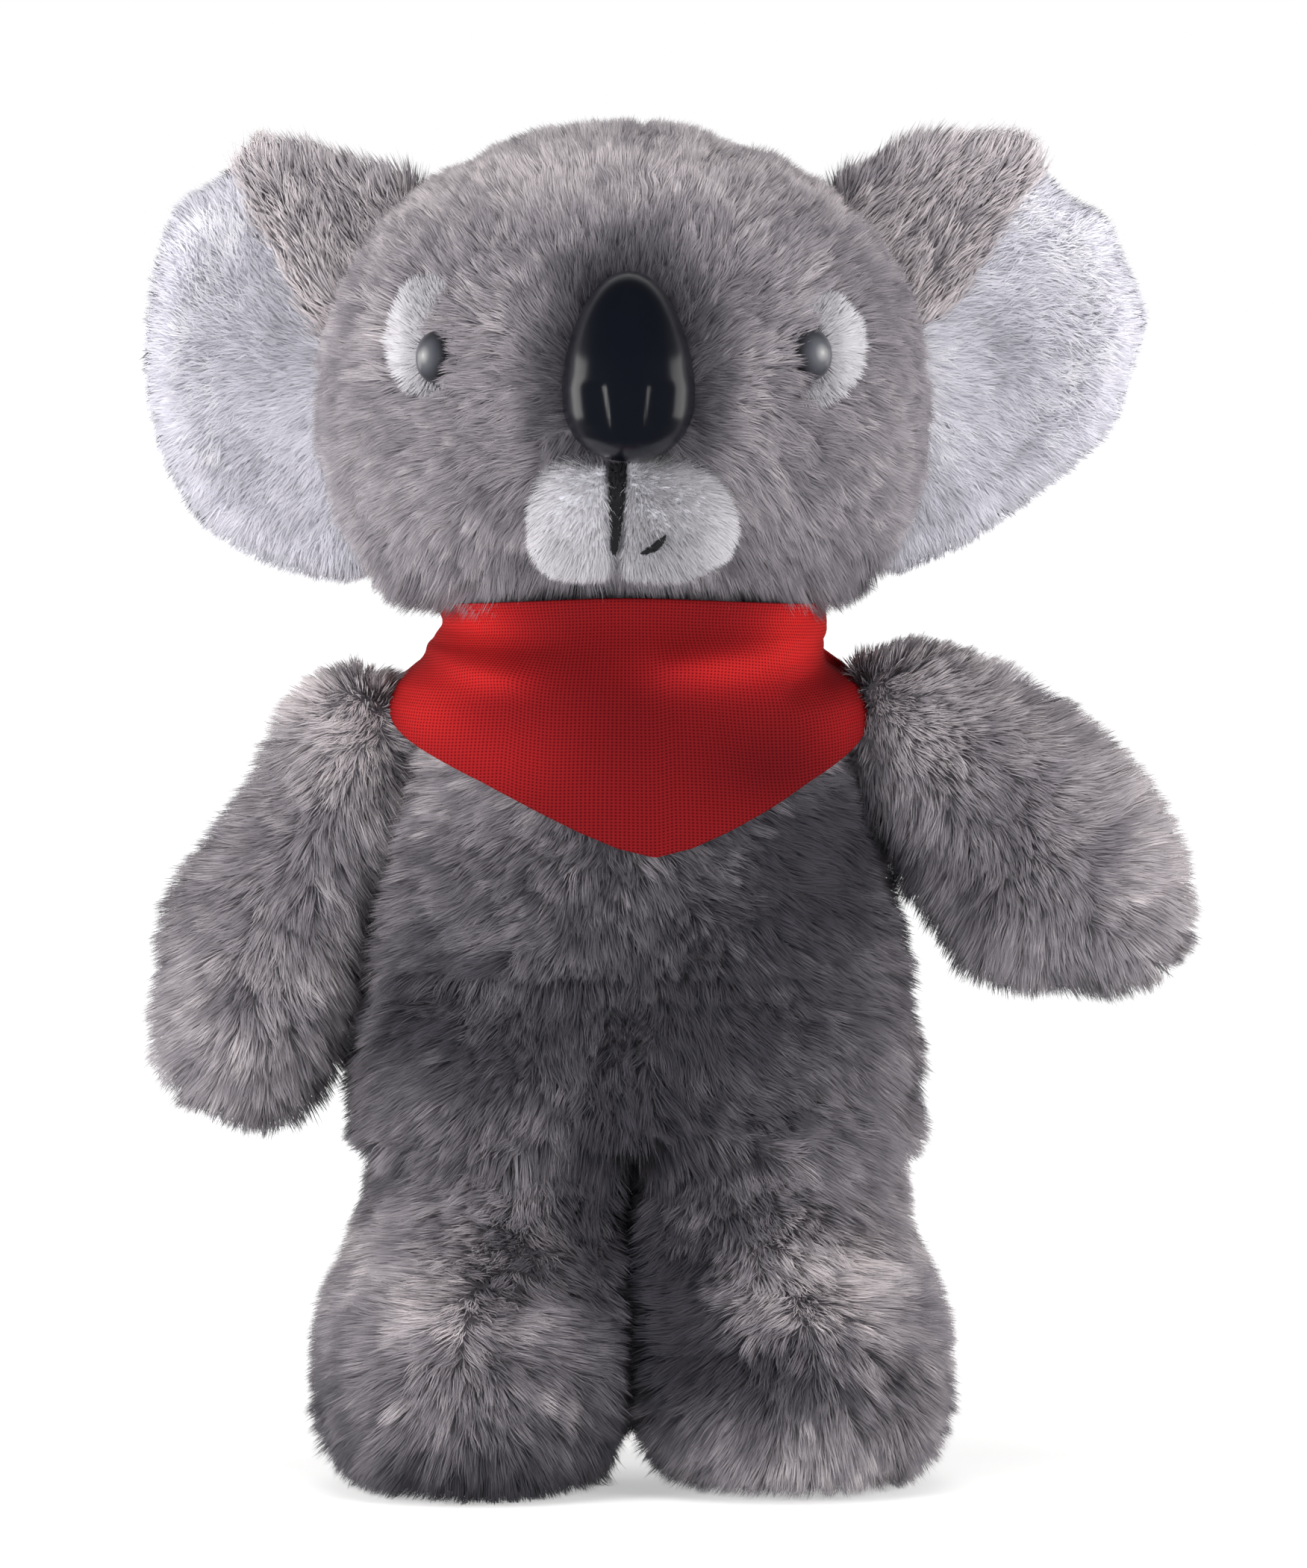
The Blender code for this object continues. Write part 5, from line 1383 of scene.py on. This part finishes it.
def cloth(name):
    cols, rows = 300, 56
    gap = math.radians(9)
    b = np.linspace(-math.pi + gap, math.pi - gap, cols)
    hem = hem_at(np.degrees(b))
    t = np.linspace(0, 1, rows)
    B = np.repeat(b[:, None], rows, 1)
    top_z = CLOTH_TOP - 3.0 * np.sin(b) ** 2
    Z = top_z[:, None] - (top_z - hem)[:, None] * t[None]
    R = cloth_field(B, Z)
    k = np.ones(9) / 9
    x = CLOTH_X + R * np.sin(B)

    def ridge(x0, z0, x1, z1, wide, high):
        d = np.array([x1 - x0, z1 - z0])
        ll = (d ** 2).sum()
        s = np.clip(((x - x0) * d[0] + (Z - z0) * d[1]) / ll, 0, 1)
        dist = np.hypot(x - x0 - s * d[0], Z - z0 - s * d[1])
        return high * np.exp(-(dist / wide) ** 2)
    front = (np.cos(B) > 0)
    fold = ridge(-40, 186, -24, 180.5, 3.6, 2.8) + ridge(-36, 192, -18, 188, 4.0, -1.4) + ridge(45, 189, 10, 183, 4.0, 2.8) + ridge(49, 182, 38, 178, 3.4, -2.4)
    fold += ridge(-4, 196, -2, 184, 9, -1.0) + ridge(24, 172, 34, 162, 7, -1.2) + ridge(-14, 176, -6, 150, 8, 0.8)
    R = R + np.where(front, fold, 0) + 0.25 * noise3(np.stack([x.ravel(), (R * np.cos(B)).ravel(), Z.ravel()], 1), 11.0, 44).reshape(x.shape)
    outer = np.stack([CLOTH_X + (R + 1.5) * np.sin(B), -(R + 1.5) * np.cos(B), Z], -1)
    inner = np.stack([CLOTH_X + (R + 0.3) * np.sin(B), -(R + 0.3) * np.cos(B), Z], -1)
    verts = np.concatenate([outer.reshape(-1, 3), inner.reshape(-1, 3)])
    n = cols * rows
    i, j = np.meshgrid(np.arange(cols - 1), np.arange(rows - 1), indexing="ij")
    a, c, d, e = i * rows + j, (i + 1) * rows + j, (i + 1) * rows + j + 1, i * rows + j + 1
    out = np.stack([a, e, d, c], -1).reshape(-1, 4)
    inn = np.stack([a, c, d, e], -1).reshape(-1, 4) + n
    ii, jj = np.arange(cols - 1), np.arange(rows - 1)
    top = np.stack([ii * rows, (ii + 1) * rows, (ii + 1) * rows + n, ii * rows + n], 1)
    bottom = np.stack([ii * rows + rows - 1, ii * rows + rows - 1 + n, (ii + 1) * rows + rows - 1 + n, (ii + 1) * rows + rows - 1], 1)
    first = np.stack([jj, jj + n, jj + 1 + n, jj + 1], 1)
    o0 = (cols - 1) * rows
    last = np.stack([o0 + jj, o0 + jj + 1, o0 + jj + 1 + n, o0 + jj + n], 1)
    quads = np.concatenate([out, inn, top, bottom, first, last])
    # flat coordinates in millimetres: round the neck, and down from the top
    U = np.cumsum(np.concatenate([[0], np.linalg.norm(np.diff(outer[:, 0], axis=0), axis=1)]))
    arc = np.concatenate([np.zeros((cols, 1)), np.cumsum(np.linalg.norm(np.diff(outer, axis=1), axis=2), axis=1)], 1)
    flat = np.stack([np.repeat(U[:, None], rows, 1), arc], -1).reshape(-1, 2)
    flat = np.concatenate([flat, flat])
    o = make_mesh(name, verts, quads)
    layer = o.data.uv_layers.new(name="knit")
    layer.data.foreach_set("uv", flat[quads.ravel()].astype(np.float32).ravel())
    xx, zz = verts[:, 0], verts[:, 2]
    # painted light and shade on the cloth: the lit ridges of the folds, the lobes and the upper corners are lighter;
    # the valleys, the middle and the tip stay dark
    light = np.full(len(verts), 0.22)
    for x0, z0, rx, rz, amount in ((-30, 180, 10, 4, 0.46), (-46, 174, 12, 10, 0.60), (22, 182, 16, 5, 0.52), (39, 189, 10, 8, 0.86), (-34, 191, 12, 7, 0.72), (46, 178, 5, 5, -0.20), (50, 171, 8, 10, 0.30),
                                   (32, 161, 17, 9, -0.14), (3, 172, 14, 12, -0.08), (0, 196, 18, 5, 0.02), (-30, 163, 15, 9, 0.26)):
        light += amount * np.exp(-((xx - x0) / rx) ** 2 - ((zz - z0) / rz) ** 2)
    o.data.attributes.new("shade", "FLOAT", "POINT").data.foreach_set("value", np.clip(light, 0.05, 1).astype(np.float32))
    o.data.materials.append(RED)

    # laid flat: the widest way round, the longest drop, and the area of the cloth's own surface, midway in its thickness
    def face_area(s):
        return 0.5 * np.linalg.norm(np.cross(s[1:, 1:] - s[:-1, :-1], s[1:, :-1] - s[:-1, 1:]), axis=2).sum()
    middle = (outer + inner) / 2
    around = np.linalg.norm(np.diff(middle[..., :2], axis=0), axis=2).sum(0).max()
    return o, around, arc.max(), face_area(middle)


bandana, cloth_w, cloth_h, cloth_area = cloth("bandana_cloth")
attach(bandana, "torso")
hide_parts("bandana")
print("cloth", cloth_w, cloth_h, cloth_area, flush=True)

def knot_field(p):
    """A wrapped band with a crease across it, and two flat tails that hang from it and spread."""
    p = p + np.array([0, 1.7, 0])  # pressed against the cloth
    q = p - np.array([0.8, 36.6, 190.4])
    ball = (np.sqrt(((q / np.array([7.4, 4.6, 5.4])) ** 2).sum(1)) - 1) * 4.6
    ball += 0.55 * np.exp(-((np.abs(q[:, 0]) - 2.6 - 0.12 * q[:, 2]) / 0.7) ** 2) * (q[:, 1] > 0)
    made = ball
    for sx in (-1, 1):
        line = np.array([(189.0, 4.0, 2.6), (184.0, 9.0, 4.2), (176.0, 14.0, 5.4), (168.5, 17.0, 4.4), (163.5, 18.6, 1.2)])[::-1]
        z = p[:, 2] + (p[:, 0] - 0.8) * sx * 0.28 - 4.0
        cx, w = (np.interp(z, line[:, 0], line[:, i]) for i in (1, 2))
        off = (p[:, 0] - 0.8) * sx - cx
        y = 38.4 + (190 - p[:, 2]) * 0.03 + 0.8 * np.sin(off * 0.9) * np.clip((188 - p[:, 2]) / 10, 0, 1)
        tail = smooth_max(np.abs(off) - w, np.abs(p[:, 1] - y) - 0.95, 0.6)
        tail = smooth_max(tail, np.maximum(163.5 - z, z - 190), 0.6)
        made = smooth_min(made, tail, 0.8)
    return made


verts, quads = nets(knot_field, (-22, 28, 156), (24, 46, 200), 0.5)
verts = settle(knot_field, verts, 1)
knot = make_mesh("bandana_knot_cloth", verts, quads)
layer = knot.data.uv_layers.new(name="knit")
layer.data.foreach_set("uv", np.stack([verts[:, 0] + verts[:, 1], verts[:, 2]], 1)[quads.ravel()].astype(np.float32).ravel())
knot.data.attributes.new("shade", "FLOAT", "POINT").data.foreach_set("value", np.full(len(verts), 0.8, np.float32))
knot.data.materials.append(RED)
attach(knot, "torso")
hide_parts("bandana_knot")

# ---------------------------------------------------------------- the CAD parts that the meshes above stand for, hidden
for n, key in (("torso_front_panel", "torso"), ("torso_back_panel", "torso"), ("torso_stuffing", "torso")):
    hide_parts(n)
for s in ("right", "left"):
    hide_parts(f"{s}_leg_skin", f"{s}_leg_stuffing", f"{s}_foot_sole")
    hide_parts(f"{s}_arm_skin", f"{s}_arm_stuffing")
    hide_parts(f"{s}_ear_front", f"{s}_ear_back")
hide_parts("head_front_panel", "head_back_panel", "head_stuffing", "neck_stuffing", "left_eye_patch", "right_eye_patch")
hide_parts("muzzle_pad")
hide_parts("philtrum_stitch")
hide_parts("mouth_stitch")
print("strands", sum(COUNT.values()), COUNT, flush=True)
